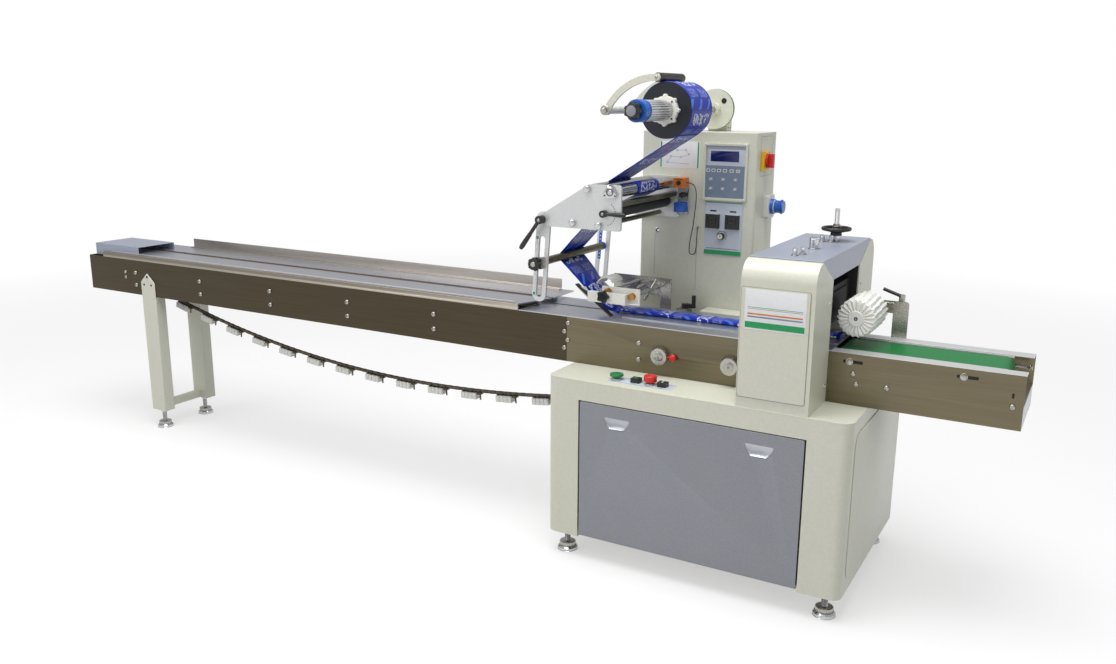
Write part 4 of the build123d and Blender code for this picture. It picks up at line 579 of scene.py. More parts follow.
# End of the wound roll: hundreds of film edges read as fine dark rings, drawn coarser to show
def woundEnd(name, look):
    material, tree = emptyMaterial(name)
    place = addNode(tree, "ShaderNodeTexCoord").outputs["Object"]
    centred = addNode(tree, "ShaderNodeMapping",
                      {"Location": tuple(-value / 1000 for value in look["centreMm"])},
                      {"Vector": place})
    flatten = addNode(tree, "ShaderNodeVectorMath", {"operation": "MULTIPLY", 1: (1, 0, 1)},
                      {0: centred.outputs[0]})
    reach = addNode(tree, "ShaderNodeVectorMath", {"operation": "LENGTH"},
                    {0: flatten.outputs[0]})
    radial = addNode(tree, "ShaderNodeCombineXYZ", None, {"X": reach.outputs["Value"]})
    layers = addNode(tree, "ShaderNodeTexNoise",
                     {"Scale": 1000 / look["layerMm"], "Detail": 4.0},
                     {"Vector": radial.outputs[0]})
    tone = addNode(tree, "ShaderNodeMix",
                   {"data_type": "RGBA", 6: hexColour(look["dark"]), 7: hexColour(look["light"])},
                   {0: layers.outputs["Fac"]})
    bump = addNode(tree, "ShaderNodeBump", {"Strength": 0.4, "Distance": 0.0004},
                   {"Height": layers.outputs["Fac"]})
    shader = addNode(tree, "ShaderNodeBsdfPrincipled", {"Roughness": 0.35, "IOR": 1.5},
                     {"Base Color": tone.outputs[2], "Normal": bump.outputs[0]})
    addNode(tree, "ShaderNodeOutputMaterial", None, {"Surface": shader.outputs[0]})
    return material


rollLow, rollHigh = nodeBox("film_roll")
rollCentre = (rollLow + rollHigh) / 2
paint["woundEnd"] = woundEnd("woundEnd", {"centreMm": (rollCentre.x, 0, rollCentre.z),
                                          "layerMm": 3.2, "dark": "05060C", "light": "14182A"})


# Cast acrylic of the small pulleys and the sensor plate: clear, faintly smeared
def clearAcrylic(name, tint):
    material = bpy.data.materials.new(name)
    material.use_nodes = True
    tree = material.node_tree
    shader = tree.nodes["Principled BSDF"]
    place = addNode(tree, "ShaderNodeTexCoord").outputs["Object"]
    smear = addNode(tree, "ShaderNodeTexNoise", {"Scale": 60.0}, {"Vector": place})
    gloss = addNode(tree, "ShaderNodeMapRange", {"To Min": 0.08, "To Max": 0.22},
                    {"Value": smear.outputs["Fac"]})
    tree.links.new(gloss.outputs[0], shader.inputs["Roughness"])
    shader.inputs["Base Color"].default_value = hexColour(tint)
    shader.inputs["Transmission Weight"].default_value = 0.6
    shader.inputs["IOR"].default_value = 1.49
    return material


paint["clearAcrylic"] = clearAcrylic("clearAcrylic", "E8EEF0")
print("film and clear finishes made")

slotOf = {part["node"]: part["material_slot"] for part in frame["record"]["subparts"]}

# Every node's finish
nodeFinish = {
    "base_front": "creamEnamel", "base_left_side": "creamEnamel", "base_right_side": "creamEnamel",
    "base_back": "creamEnamel", "base_floor": "creamEnamel", "base_top": "creamEnamel",
    "base_door": "greyEnamel", "levelling_feet": "chromePlate", "leg_frame": "creamEnamel",
    # The infeed's side plates take the stainless painted darker, a painted reflection
    "infeed_side_plates": "darkStainless", "infeed_ties": "brushedStainless",
    "main_side_plates": "brushedStainless", "infeed_table": "tableAluminium",
    "back_guide_rail": "warmStainless", "tail_cover": "blueGreyEnamel",
    "pusher_chain": "oiledSteel", "tail_sprocket": "oiledSteel", "main_deck": "tableAluminium",
    "rear_drive_housing": "creamEnamel", "discharge_side_plates": "brushedStainless",
    "discharge_belt": "greenBelting", "discharge_bed": "tableAluminium",
    "seal_covers": "creamEnamel", "seal_roof": "blueGreyEnamel", "seal_jaw_housing": "mattBlack",
    "roof_posts": "chromePlate", "handwheel": "blackPhenolic", "brush": "whiteNylon",
    "brush_arm": "brightStainless", "rear_brackets": "brightStainless",
    "plate_knob_left": "brightStainless", "plate_knob_right": "brightStainless",
    "rear_crank": "blackPhenolic", "button_panel": "paleFoil", "green_button": "greenAbs",
    "red_button": "redAbs", "control_cabinet": "creamEnamel", "cabinet_panels": "creamEnamel",
    "side_fittings": "whiteAbs", "main_switch_handle": "redAbs", "unit_plates": "anodisedAluminium",
    "unit_rollers": "chromePlate", "nip_lever": "blackPhenolic",
    "slotted_links": "anodisedAluminium", "dancer_bar": "oliveAnodised",
    "edge_sensor": "clearAcrylic", "sensor_cable": "nitrileRubber",
    "film_web_upper": "blueAbs", "film_web_unit": "blueAbs", "film_web_lower": "blueAbs",
    "film_tube": "blueAbs", "former_head": "whiteNylon", "former_bracket": "brightStainless",
    "unwind_brackets": "creamEnamel", "film_roll": "blueAbs", "mandrel": "brightStainless",
    "reel_knob": "blackPhenolic", "brake_disc": "creamEnamel", "tension_arms": "creamEnamel",
}
for node, finishName in nodeFinish.items():
    mesh = frame["nodes"][node].data
    mesh.materials.clear()
    mesh.materials.append(paint[finishName])

# Nodes of one finish that are shown by a copy with softened edges, with the edge in millimetres
softEdges = {
    "base_door": 3.0, "base_top": 2.0, "leg_frame": 3.0, "tail_cover": 0.6, "seal_covers": 4.0,
    "seal_roof": 1.2, "control_cabinet": 4.0, "slotted_links": 1.5, "rear_drive_housing": 4.0,
    "brush_arm": 1.0, "main_side_plates": 0.5, "back_guide_rail": 0.6,
}
for node, widthMm in softEdges.items():
    softened(node, widthMm, nodeFinish[node])

# Nodes of several finishes: the edge, then each region's finish and its two corners
mixedNodes = {
    "infeed_table": (0, (("warmAluminium", (-1800, -195, 735), (400, -193, 757.5)),)),
    "discharge_side_plates": (0.6, (("anodisedAluminium", (1380, -200, 735), (1890, 80, 740)),)),
    "discharge_bed": (0.6, (("chromePlate", (1380, -192, 680), (1430, 70, 730)),
                            ("chromePlate", (1788, -192, 680), (1838, 70, 730)))),
    "cabinet_panels": (0.8, (("paleFoil", (845, 150, 910), (982, 178, 1095)),
                             ("blackPhenolic", (853, 155, 1004), (970, 173.5, 1051)),
                             ("blackPhenolic", (896, 155, 966), (924, 173.5, 996)),
                             ("displayBlue", (860, 150, 1221), (961, 170.9, 1259)),
                             ("paleFoil", (845, 170.5, 1105), (981, 171.5, 1273)))),
    "side_fittings": (1.5, (("yellowAbs", (1015, 210, 1190), (1030, 285, 1260)),
                            ("blueAbs", (1034.5, 260, 1030), (1080, 330, 1120)))),
    "unit_plates": (1.0, (("blackPhenolic", (400, -300, 940), (502, -269.5, 1100)),
                          ("chromePlate", (560, -300, 1030), (760, -269.5, 1180)))),
    "unit_rollers": (0.8, (("oliveAnodised", (586, -262, 1041), (606, 170, 1061)),
                           ("oliveAnodised", (676, -262, 1038), (696, 170, 1058)),
                           ("oliveAnodised", (724, -262, 1104), (750, 170, 1120)),
                           ("nitrileRubber", (691, -250, 1067), (733, 158, 1109)))),
    "dancer_bar": (0.8, (("blueAbs", (450, -254, 890), (500, -244.5, 940)),
                         ("blueAbs", (450, 152, 890), (500, 161.5, 940)),
                         ("brightStainless", (455, -287.2, 895), (500, -260.5, 940)),
                         ("blackPhenolic", (450, -310, 890), (500, -287, 940)))),
    "edge_sensor": (0.8, (("orangeAbs", (750, 120, 1135.5), (795, 165, 1170)),
                          ("blueAbs", (750, 130, 1054), (795, 165, 1087)),
                          ("blackPhenolic", (765, 140, 1100), (790, 165, 1122)))),
    "button_panel": (0.4, (("chromePlate", (750, -331, 589.3), (960, -271, 593.2)),
                           ("blackPhenolic", (822, -320, 589.2), (852, -280, 604)),
                           ("blackPhenolic", (909, -320, 589.2), (939, -280, 604)))),
    "former_head": (1.0, (("bronze", (652, -168.5, 814), (676, -154.2, 838)),
                          ("bronze", (736.5, -168.5, 806), (760, -154.2, 830)),
                          ("blackPhenolic", (646, -197, 798), (678, -184.3, 830)))),
    "former_bracket": (0.8, (("chromePlate", (650, -149, 805), (762, 73, 840)),)),
    "tension_arms": (2.0, (("oiledSteel", (788, -137, 1466), (820, 45, 1498)),)),
    "mandrel": (1.0, (("blueAbs", (790, -334.5, 1350), (870, -290.2, 1430)),
                      ("whiteNylon", (780, -140.3, 1335), (880, -111, 1440)),
                      ("whiteNylon", (780, 19, 1335), (880, 48.5, 1440)))),
    "rear_brackets": (1.0, (("clearAcrylic", (1500, 84.5, 808), (1528, 95.5, 836)),
                            ("blackPhenolic", (1457, 60, 843), (1500, 100, 885)))),
    "plate_knob_left": (0.8, (("redAbs", (897, -216, 620), (925, -190, 680)),)),
    "unwind_brackets": (2.5, (("brightStainless", (626, -155, 1371), (654, -145.5, 1399)),)),
}
for node, (widthMm, regions) in mixedNodes.items():
    softened(node, widthMm, nodeFinish[node], regions)
print("frame nodes dressed")

# Sizes of a shape are kept in the order that its function takes them, such as a block's length,
# width, height and edge. Screws of the infeed's side plates, from the plates' lower left corner
plateLow, plateHigh = nodeBox("infeed_side_plates")
plateScrews = {"pairs": (301, 698, 1093, 1488, 1885), "rows": (42, 95), "headR": 9,
               "endPair": ((235, 92), (235, 70)), "endR": 7,
               "joint": ((2425, 128), (2412, 99), (2424, 71), (2412, 45), (2677, 94), (2677, 41)),
               "jointR": 8}
pairPlaces = [(x, z) for x in plateScrews["pairs"] for z in plateScrews["rows"]]
bm = bmesh.new()
for side, y in (("front", plateLow.y), ("back", plateHigh.y)):
    for places, r in ((pairPlaces, plateScrews["headR"]),
                      (plateScrews["endPair"], plateScrews["endR"]),
                      (plateScrews["joint"], plateScrews["jointR"])):
        screws(bm, (r,), [(side, plateLow.x + x, y, plateLow.z + z) for x, z in places])
closePiece("plateScrews", bm, "machine", "chrome", "brightStainless")

# Slots and bolts of the discharge conveyor, and its belt tensioner at the open end. The slots are
# black tabs: painted shade of the openings
outLow, outHigh = nodeBox("discharge_side_plates")
outfeed = {"slotPlaces": ((62, 125), (360, 125)), "slot": (55, 9, 0.5, 4.4), "boltShift": -9.5,
           "bolt": (8, 6), "screwPlaces": ((64, 91), (74, 63), (157, 64), (474, 62)),
           "screw": (7.8,), "smallSlotPlace": (473, 92), "smallSlot": (6, 14, 0.5, 2.9),
           "tensionerY": (-160, 37), "tensionerZ": 116, "thread": (5, 60, 2), "threadX": 437,
           "nut": (8.5, 7), "nutX": 490, "rail": (420, 5, 6, 0.8), "railX": 240, "railZ": 141,
           "railInset": 54}
bm = bmesh.new()
for side, y in (("front", outLow.y), ("back", outHigh.y)):
    for x, z in outfeed["slotPlaces"]:
        # Black tabs over the slots: painted shade
        fasten(bm, tab(*outfeed["slot"]), 1, facing(side, outLow.x + x, y, outLow.z + z))
        fasten(bm, hexNut(*outfeed["bolt"]), 0,
               facing(side, outLow.x + x + outfeed["boltShift"], y, outLow.z + z))
    screws(bm, outfeed["screw"],
           [(side, outLow.x + x, y, outLow.z + z) for x, z in outfeed["screwPlaces"]])
    x, z = outfeed["smallSlotPlace"]
    fasten(bm, tab(*outfeed["smallSlot"]), 1, facing(side, outLow.x + x, y, outLow.z + z))
for y in outfeed["tensionerY"]:
    for shape, x in ((threaded(*outfeed["thread"]), outfeed["threadX"]),
                     (hexNut(*outfeed["nut"]), outfeed["nutX"])):
        fasten(bm, shape, 0, facing("right", outLow.x + x, y, outLow.z + outfeed["tensionerZ"]))
closePiece("outfeedBolts", bm, "machine", "chrome", "brightStainless", "mattBlack")

# The belt's lengthwise wear rails beside it, milled bright
bm = bmesh.new()
for y in (outLow.y + outfeed["railInset"], outHigh.y - outfeed["railInset"]):
    fasten(bm, block(*outfeed["rail"]), 0,
           facing("up", outLow.x + outfeed["railX"], y, outLow.z + outfeed["railZ"]))
closePiece("outfeedRails", bm, "machine", "aluminium", "anodisedAluminium")

# Wear strips beside the table's slot and along its front edge, with small fixing screws
tableLow, tableHigh = nodeBox("infeed_table")
tableTrim = {"endGap": 60, "startGap": 6, "strip": (3, 1.2, 0.4), "slotY": (-54.5, -37.5),
             "edgeY": 1.6, "lip": (5, 1.2, 0.4), "lipY": 26, "lipShorter": 40, "screw": (3.2, 1.2),
             "screwStart": 60, "screwPitch": 132, "screwInset": 12}
tableLength = tableHigh.x - tableLow.x - tableTrim["endGap"]
stripX = tableLow.x + tableLength / 2 + tableTrim["startGap"]
bm = bmesh.new()
for y in tableTrim["slotY"]:
    fasten(bm, block(tableLength, *tableTrim["strip"]), 0, facing("up", stripX, y, tableHigh.z))
fasten(bm, block(tableLength - tableTrim["lipShorter"], *tableTrim["lip"]), 1,
       facing("up", stripX, tableLow.y + tableTrim["lipY"], tableHigh.z))
fasten(bm, block(tableLength, *tableTrim["strip"]), 0,
       facing("up", stripX, tableLow.y + tableTrim["edgeY"], tableHigh.z))
for index in range(int(tableLength / tableTrim["screwPitch"])):
    x = tableLow.x + tableTrim["screwStart"] + index * tableTrim["screwPitch"]
    screws(bm, tableTrim["screw"],
           [("up", x, y + tableTrim["screwInset"], tableHigh.z)
            for y in (tableLow.y, tableTrim["slotY"][1])], 2)
closePiece("tableTrim", bm, "machine", "aluminium", "brownLaminate", "anodisedAluminium",
           "brightStainless")

# Ear screws of the leg frame
legLow, legHigh = nodeBox("leg_frame")
legMiddle = (legLow.x + legHigh.x) / 2
earScrews = ((0, -16, 5), (-22, -50, 4.2), (22, -50, 4.2))
bm = bmesh.new()
for side, y in (("front", legLow.y), ("back", legHigh.y)):
    for x, z, r in earScrews:
        screws(bm, (r,), [(side, legMiddle + x, y, legHigh.z + z)])
closePiece("legScrews", bm, "machine", "chrome", "mattBlack")

# Bright knurled hubs and threaded rods of the levelling feet
footLook = {"places": ((614, -317), (614, 238), (1448, -317), (1448, 238), (-1508, -171.5),
                       (-1508, 48.5)), "hubR": 25, "lobes": 22, "lobeDepth": 0.9,
            "hubHeight": 13, "hubEdge": 1.2, "padTop": 14, "legTop": 80, "baseTop": 74,
            "rodR": 9.5, "rodPitch": 2.5, "rodGap": 1, "collar": (20, 33, 2.2, 0.8),
            "collarZ": 0.2}
bm = bmesh.new()
for x, y in footLook["places"]:
    top = footLook["legTop"] if x < 0 else footLook["baseTop"]
    fasten(bm, lobedDisc(footLook["hubR"], footLook["lobes"], footLook["lobeDepth"],
                         footLook["hubHeight"], footLook["hubEdge"]), 0,
           facing("up", x, y, footLook["padTop"]))
    rodBase = footLook["padTop"] + footLook["hubHeight"]
    fasten(bm, threaded(footLook["rodR"], top - rodBase - footLook["rodGap"],
                        footLook["rodPitch"]), 1, facing("up", x, y, rodBase))
    fasten(bm, ring(*footLook["collar"]), 1, facing("up", x, y, footLook["collarZ"]))
closePiece("footHubs", bm, "machine", "chrome", "brightStainless", "chromePlate")

# Door: the two finger pulls as dishes painted pale grey, a painted highlight of light from above,
# and a bright strip on the top edge, a painted highlight
doorLow, doorHigh = nodeBox("base_door")
doorLook = {"pullInset": 126, "pullDrop": 35, "pullR": 41.4, "pullDepth": 34, "floor": 10.6,
            "sheet": 0.4, "grid": (28, 10), "rimGap": 0.3, "edge": (14, 1.2, 0.4),
            "edgeShorter": 4, "edgeY": 8}


# A half-moon dish, deep under its straight top edge and level with the door along its arc
def halfMoonDish(r, depth, floor, sheet):
    bm = bmesh.new()
    columns, rows = doorLook["grid"]
    bmesh.ops.create_grid(bm, x_segments=columns, y_segments=rows, size=1)
    for vert in bm.verts:
        across = math.sin(vert.co.x * math.pi / 2)
        down = (1 - vert.co.y) / 2
        reach = math.sqrt(min(1, across ** 2 + down ** 2 * (1 - across ** 2)))
        rise = 1 - math.sqrt(max(0, 1 - reach ** 2))
        vert.co = (r * across, -down * min(r * math.sqrt(1 - across ** 2), depth),
                   sheet + (floor - sheet - doorLook["rimGap"]) * rise)
    bmesh.ops.remove_doubles(bm, verts=bm.verts, dist=0.01)
    bmesh.ops.recalc_face_normals(bm, faces=bm.faces)
    bmesh.ops.solidify(bm, geom=bm.faces[:], thickness=-sheet)
    return bm


bm = bmesh.new()
# Pale grey dishes: a painted highlight on the pulls
for x in (doorLow.x + doorLook["pullInset"], doorHigh.x - doorLook["pullInset"]):
    fasten(bm, halfMoonDish(doorLook["pullR"], doorLook["pullDepth"], doorLook["floor"],
                            doorLook["sheet"]), 1,
           facing("front", x, doorLow.y + doorLook["floor"], doorHigh.z - doorLook["pullDrop"]))
# Bright strip along the door's top edge: a painted highlight
fasten(bm, block(doorHigh.x - doorLow.x - doorLook["edgeShorter"], *doorLook["edge"]), 0,
       facing("up", (doorLow.x + doorHigh.x) / 2, doorLow.y + doorLook["edgeY"], doorHigh.z))
closePiece("doorPulls", bm, "base_door", "chrome", "anodisedAluminium", "tableAluminium")

# Pressed panels in the base's end walls, with rounded corners
baseTopLow, baseTopHigh = nodeBox("base_top")
sidePanel = {"y": -34, "z": 328, "panel": (568, 432, 2.2, 42, 1.2)}
bm = bmesh.new()
for side, x in (("right", baseTopHigh.x), ("left", baseTopLow.x)):
    fasten(bm, tab(*sidePanel["panel"]), 0, facing(side, x, sidePanel["y"], sidePanel["z"]))
closePiece("basePanels", bm, "machine", "cream_paint", "creamEnamel")

# Scales round the two knobs of the side plate, their end caps, and the left knob's red ball
knobLow, knobHigh = nodeBox("plate_knob_right")
knobLook = {"places": ((868, 652), (1094, 652)), "tick": (1.1, 5.5, 0.35, 0), "tickR": 33,
            "ticks": 9, "tickStart": 30, "tickSpan": 120, "arc": (29.2, 30.2, 25, 155, 0.3),
            "rim": (26.4, 36, 0.5, 11, 1.0), "rimDepth": 4,
            "cap": ((0, 0), (15, 0), (15, 1.5), (12, 2.6), (0, 3.1)), "capSteps": 30,
            "screw": (4.2, 2.2), "screwRise": 2.8, "ball": (911, -204.3, 652), "ballR": 12,
            "ballFlat": 0.78}
bm = bmesh.new()
for x, z in knobLook["places"]:
    for index in range(knobLook["ticks"]):
        turn = math.radians(knobLook["tickStart"]
                            + knobLook["tickSpan"] * index / (knobLook["ticks"] - 1))
        fasten(bm, block(*knobLook["tick"]), 1,
               facing("front", x + knobLook["tickR"] * math.cos(turn), plateLow.y,
                      z + knobLook["tickR"] * math.sin(turn)))
    fasten(bm, ringPart(*knobLook["arc"]), 1, facing("front", x, plateLow.y, z))
closePiece("knobScales", bm, "machine", "chrome", "brightStainless", "mattBlack")
for name, body, (x, z) in (("leftKnobCap", "knob_left", knobLook["places"][0]),
                           ("rightKnobCap", "knob_right", knobLook["places"][1])):
    bm = bmesh.new()
    fasten(bm, lobedDisc(*knobLook["rim"]), 0,
           facing("front", x, knobHigh.y - knobLook["rimDepth"], z))
    fasten(bm, turned(knobLook["cap"], knobLook["capSteps"]), 0, facing("front", x, knobLow.y, z))
    screws(bm, knobLook["screw"], [("front", x, knobLow.y - knobLook["screwRise"], z)], 1)
    if body == "knob_left":
        ball = bmesh.new()
        bmesh.ops.create_uvsphere(ball, u_segments=24, v_segments=16, radius=knobLook["ballR"])
        bmesh.ops.scale(ball, vec=(1, 1, knobLook["ballFlat"]), verts=ball.verts)
        fasten(bm, ball, 2, facing("front", *knobLook["ball"]))
    closePiece(name, bm, body, "stainless", "brightStainless", "greyEnamel", "redAbs")

# Ledge label: generic lines, the green cap of the first selector and the second's pointer
ledge = {"rule": (196, 1.2, 0.3, 0), "rules": ((854, -326, 589), (854, -276, 589)),
         "line": (16, 1.4, 0.3, 0), "lines": ((771, -321, 589), (837, -321, 589),
                                              (883, -323, 589), (924, -321, 589)),
         "cap": (11, 17, 1.4, 0.5), "capPlace": (837, -301, 603),
         "pointer": (3, 17, 1.2, 0.4), "pointerPlace": (924, -301, 603)}
bm = bmesh.new()
for place in ledge["rules"]:
    fasten(bm, block(*ledge["rule"]), 0, facing("up", *place))
for place in ledge["lines"]:
    fasten(bm, block(*ledge["line"]), 2, facing("up", *place))
fasten(bm, block(*ledge["cap"]), 1, facing("up", *ledge["capPlace"]))
fasten(bm, block(*ledge["pointer"]), 3, facing("up", *ledge["pointerPlace"]))
closePiece("ledgeMarks", bm, "machine", "black_plastic", "greenFoil", "greenAbs", "mattBlack",
           "whiteAbs")

# Seal box: a sign plate with a band and plain lines, a painted shadow line round the cover's raised
# panel, screws on its end faces.
# Each mark has its length, width and height, how far it is above the middle, and its finish
sealLow, sealHigh = nodeBox("seal_covers")
sealBox = {"signX": 1271.5, "signZ": 868, "sign": (169, 112, 0.5, 2), "signRise": 0.5,
           "marks": ((165, 17, 0.25, -42.5, 1), (153, 1.4, 0.2, 6, 1), (153, 0.8, 0.2, 2, 2),
                     (153, 4, 0.2, -12, 4), (153, 4, 0.2, -20, 3)),
           "panelShadow": (193, 312, 1.5, 0.6, 6), "panelShadowPlace": (1270.5, -365, 773),
           "screwY": (-220, 132), "screwZ": (877, 640), "screw": (5.5,)}
bm = bmesh.new()
signPlace = facing("front", sealBox["signX"], sealLow.y, sealBox["signZ"])
fasten(bm, tab(*sealBox["sign"]), 0, signPlace)
for length, width, height, up, finishIndex in sealBox["marks"]:
    fasten(bm, block(length, width, height, 0), finishIndex,
           shifted(signPlace, 0, up, sealBox["signRise"]))
closePiece("signPlate", bm, "machine", "white_plastic", "signFoil", "greenFoil", "mattBlack",
           "panelFoil", "orangeAbs")
bm = bmesh.new()
# A darker cream ring on the wall round the raised panel: painted shadow of the panel's edge
fasten(bm, hoop(*sealBox["panelShadow"]), 0, facing("front", *sealBox["panelShadowPlace"]))
closePiece("sealPanelShadow", bm, "machine", "cream_paint", "seamAndShadowCream")
bm = bmesh.new()
screws(bm, sealBox["screw"],
       [(side, x, y, z) for side, x in (("right", sealHigh.x), ("left", sealLow.x))
        for y in sealBox["screwY"] for z in sealBox["screwZ"]])
closePiece("sealScrews", bm, "machine", "chrome", "chromePlate")

# Flanges, end caps and bands of the roof posts, each post with its radius and height
roofTop = nodeBox("seal_roof")[1].z
postLook = {"posts": ((1279, -242, 6.5, 20), (1292, -210, 6.5, 20), (1271, 63, 6.5, 20),
                      (1296, 68, 6.5, 20), (1289, -92, 13, 33)), "flange": 4,
            "flangeHeight": 2.5, "boreShare": 0.9, "capShare": 0.62, "capTopShare": 0.5,
            "capEdge": 0.8, "capHeight": 1.4, "capSteps": 20, "bandInside": 0.2,
            "bandOutside": 0.7, "bandHeight": 1.4, "bandDrop": 5}
bm = bmesh.new()
for x, y, r, height in postLook["posts"]:
    fasten(bm, ring(r * postLook["boreShare"], r + postLook["flange"], postLook["flangeHeight"]),
           0, facing("up", x, y, roofTop))
    capR = r * postLook["capShare"]
    fasten(bm, turned(((0, 0), (capR, 0), (capR, postLook["capEdge"]),
                       (r * postLook["capTopShare"], postLook["capHeight"]),
                       (0, postLook["capHeight"])), postLook["capSteps"]), 1,
           facing("up", x, y, roofTop + height))
    fasten(bm, ring(r - postLook["bandInside"], r + postLook["bandOutside"],
                    postLook["bandHeight"]), 1,
           facing("up", x, y, roofTop + height - postLook["bandDrop"]))
closePiece("postFlanges", bm, "machine", "chrome", "brightStainless", "chromePlate")

# Inside the tunnel: the end-seal jaws' shaft, cheeks and bolts, and black sheets on the inner faces
# of the covers and the roof, painted shade of the dark tunnel, seen from the open ends
jawLook = {"ends": (("right", 1350), ("left", 1200)), "y": -44, "z": 842,
           "cheek": (220, 78, 5, 10, 1.2), "boltY": (-88, 88), "boltZ": (-28, 28),
           "bolt": (4.5,), "shaft": (9, 250, 1), "shaftPlace": (1275, -169, 912), "x": 1275,
           "shadeSheets": (("back", -194), ("front", 106)), "shadeSheet": (198, 175, 1.2, 0.3),
           "shadeSheetZ": 848.5, "roofShadeSheet": (198, 296, 1.2, 0.3), "roofZ": 937}
bm = bmesh.new()
for side, x in jawLook["ends"]:
    fasten(bm, tab(*jawLook["cheek"]), 0, facing(side, x, jawLook["y"], jawLook["z"]))
    screws(bm, jawLook["bolt"], [(side, x, jawLook["y"] + y, jawLook["z"] + z)
                                 for y in jawLook["boltY"] for z in jawLook["boltZ"]], 1)
fasten(bm, rod(*jawLook["shaft"]), 1, facing("back", *jawLook["shaftPlace"]))
# Black sheets on the covers' and the roof's inner faces: painted shade
for side, y in jawLook["shadeSheets"]:
    fasten(bm, block(*jawLook["shadeSheet"]), 0, facing(side, jawLook["x"], y, jawLook["shadeSheetZ"]))
fasten(bm, block(*jawLook["roofShadeSheet"]), 0,
       facing("down", jawLook["x"], jawLook["y"], jawLook["roofZ"]))
closePiece("jawCheeks", bm, "machine", "black_plastic", "mattBlack", "oiledSteel")

# Handwheel on its threaded spindle
wheelLow, wheelHigh = nodeBox("handwheel")
wheelX = (wheelLow.x + wheelHigh.x) / 2
wheelY = (wheelLow.y + wheelHigh.y) / 2
wheelLook = {"rimR": 39.2, "rimTubeR": 5.6, "rimZ": 1041.5, "rimPoints": 48, "rimSides": 12,
             "boreR": 8, "hubR": 17, "hubFoot": 4, "neckR": 12.5, "neckDrop": 3, "hubTopR": 11,
             "hubTopDrop": 1.5, "hubSteps": 40, "webRise": 8, "webSteps": 48,
             "web": ((12, 0), (24, 3.2), (36, 6.4), (36, 10.4), (24, 7.6), (12, 5), (12, 0)),
             "thread": (7.3, 50, 2.4), "threadRise": 2, "nut": (11, 7), "nutRise": 0.5}
hubTop = wheelHigh.z - wheelLook["hubTopDrop"]
bm = turned(((wheelLook["boreR"], wheelLow.z), (wheelLook["hubR"], wheelLow.z),
             (wheelLook["hubR"], wheelLow.z + wheelLook["hubFoot"]),
             (wheelLook["neckR"], wheelHigh.z - wheelLook["neckDrop"]),
             (wheelLook["hubTopR"], hubTop), (wheelLook["boreR"], hubTop),
             (wheelLook["boreR"], wheelLow.z)), wheelLook["hubSteps"])
bmesh.ops.translate(bm, vec=(wheelX, wheelY, 0), verts=bm.verts)
rimTurns = [2 * math.pi * index / wheelLook["rimPoints"] for index in range(wheelLook["rimPoints"])]
fasten(bm, tube([(wheelX + wheelLook["rimR"] * math.cos(turn),
                  wheelY + wheelLook["rimR"] * math.sin(turn), wheelLook["rimZ"])
                 for turn in rimTurns], wheelLook["rimTubeR"], True, wheelLook["rimSides"]))
fasten(bm, turned(wheelLook["web"], wheelLook["webSteps"]), 0,
       facing("up", wheelX, wheelY, wheelLow.z + wheelLook["webRise"]))
wheel = closePiece("handwheelRim", bm, "handwheel", "black_plastic", "blackPhenolic")
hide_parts("handwheel")
bm = bmesh.new()
for shape, rise in ((threaded(*wheelLook["thread"]), wheelLook["threadRise"]),
                    (hexNut(*wheelLook["nut"]), wheelLook["nutRise"])):
    fasten(bm, shape, 0, facing("up", wheelX, wheelY, wheelHigh.z + rise))
closePiece("spindleThread", bm, "machine", "chrome", "brightStainless")

# Pleated nylon brush: radial folds that run along the drum and fan out over its ends
brushLow, brushHigh = nodeBox("brush")
brushX = (brushLow.x + brushHigh.x) / 2
brushZ = (brushLow.z + brushHigh.z) / 2
brushLook = {"r": 53.5, "front": -132, "folds": 22, "foldSteps": 6, "depth": 3.4, "fan": 3.2,
             "twist": 0.02, "middle": 80, "fanFrom": 70,
             "drum": ((14, 5), (24, 2), (42, 1.5), (51, 4), (53.5, 9), (53.5, 80), (53.5, 151),
                      (51, 156), (42, 158.5), (24, 158), (14, 155), (14, 5)),
             "hub": ((0, 0), (20, 0), (22, 2), (22, 7), (6, 9), (6, 60), (0, 60)),
             "hubRise": 2.6, "hubSteps": 32, "axle": (6, 66, 0.8), "axleY": 28,
             "screw": (6, 0.4), "screwRise": 2.4}
bm = turned(brushLook["drum"], brushLook["folds"] * brushLook["foldSteps"])
for vert in bm.verts:
    turn = math.atan2(vert.co.y, vert.co.x)
    reach = vert.co.xy.length / brushLook["r"]
    fold = math.cos(brushLook["folds"] * turn + brushLook["twist"] * vert.co.z)
    side = 1 if vert.co.z < brushLook["middle"] else -1
    atEnd = abs(vert.co.z - brushLook["middle"]) > brushLook["fanFrom"]
    vert.co.z += side * brushLook["fan"] * fold * reach * atEnd
    vert.co.xy *= 1 + brushLook["depth"] / brushLook["r"] * fold * reach
bmesh.ops.recalc_face_normals(bm, faces=bm.faces)
bmesh.ops.transform(bm, matrix=facing("back", brushX, brushLook["front"], brushZ), verts=bm.verts)
fasten(bm, turned(brushLook["hub"], brushLook["hubSteps"]), 0,
       facing("back", brushX, brushLook["front"] - brushLook["hubRise"], brushZ))
fasten(bm, rod(*brushLook["axle"]), 1, facing("back", brushX, brushLook["axleY"], brushZ))
screws(bm, brushLook["screw"],
       [("front", brushX, brushLook["front"] - brushLook["screwRise"], brushZ)], 2)
brushPiece = closePiece("pleatedBrush", bm, "brush", "white_nylon", "brushNylon", "chromePlate",
                        "oiledSteel")
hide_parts("brush")

# Round belt from the arm's pivot to the brush
beltLook = {"pivot": (1512, 822), "brush": (1432, 822), "pulleyR": 16.5, "cordR": 2.2,
            "cordSides": 8, "armY": 89, "halfSteps": 12, "pulley": (5, 15.5, 7, 0.8),
            "pulleyY": 85}


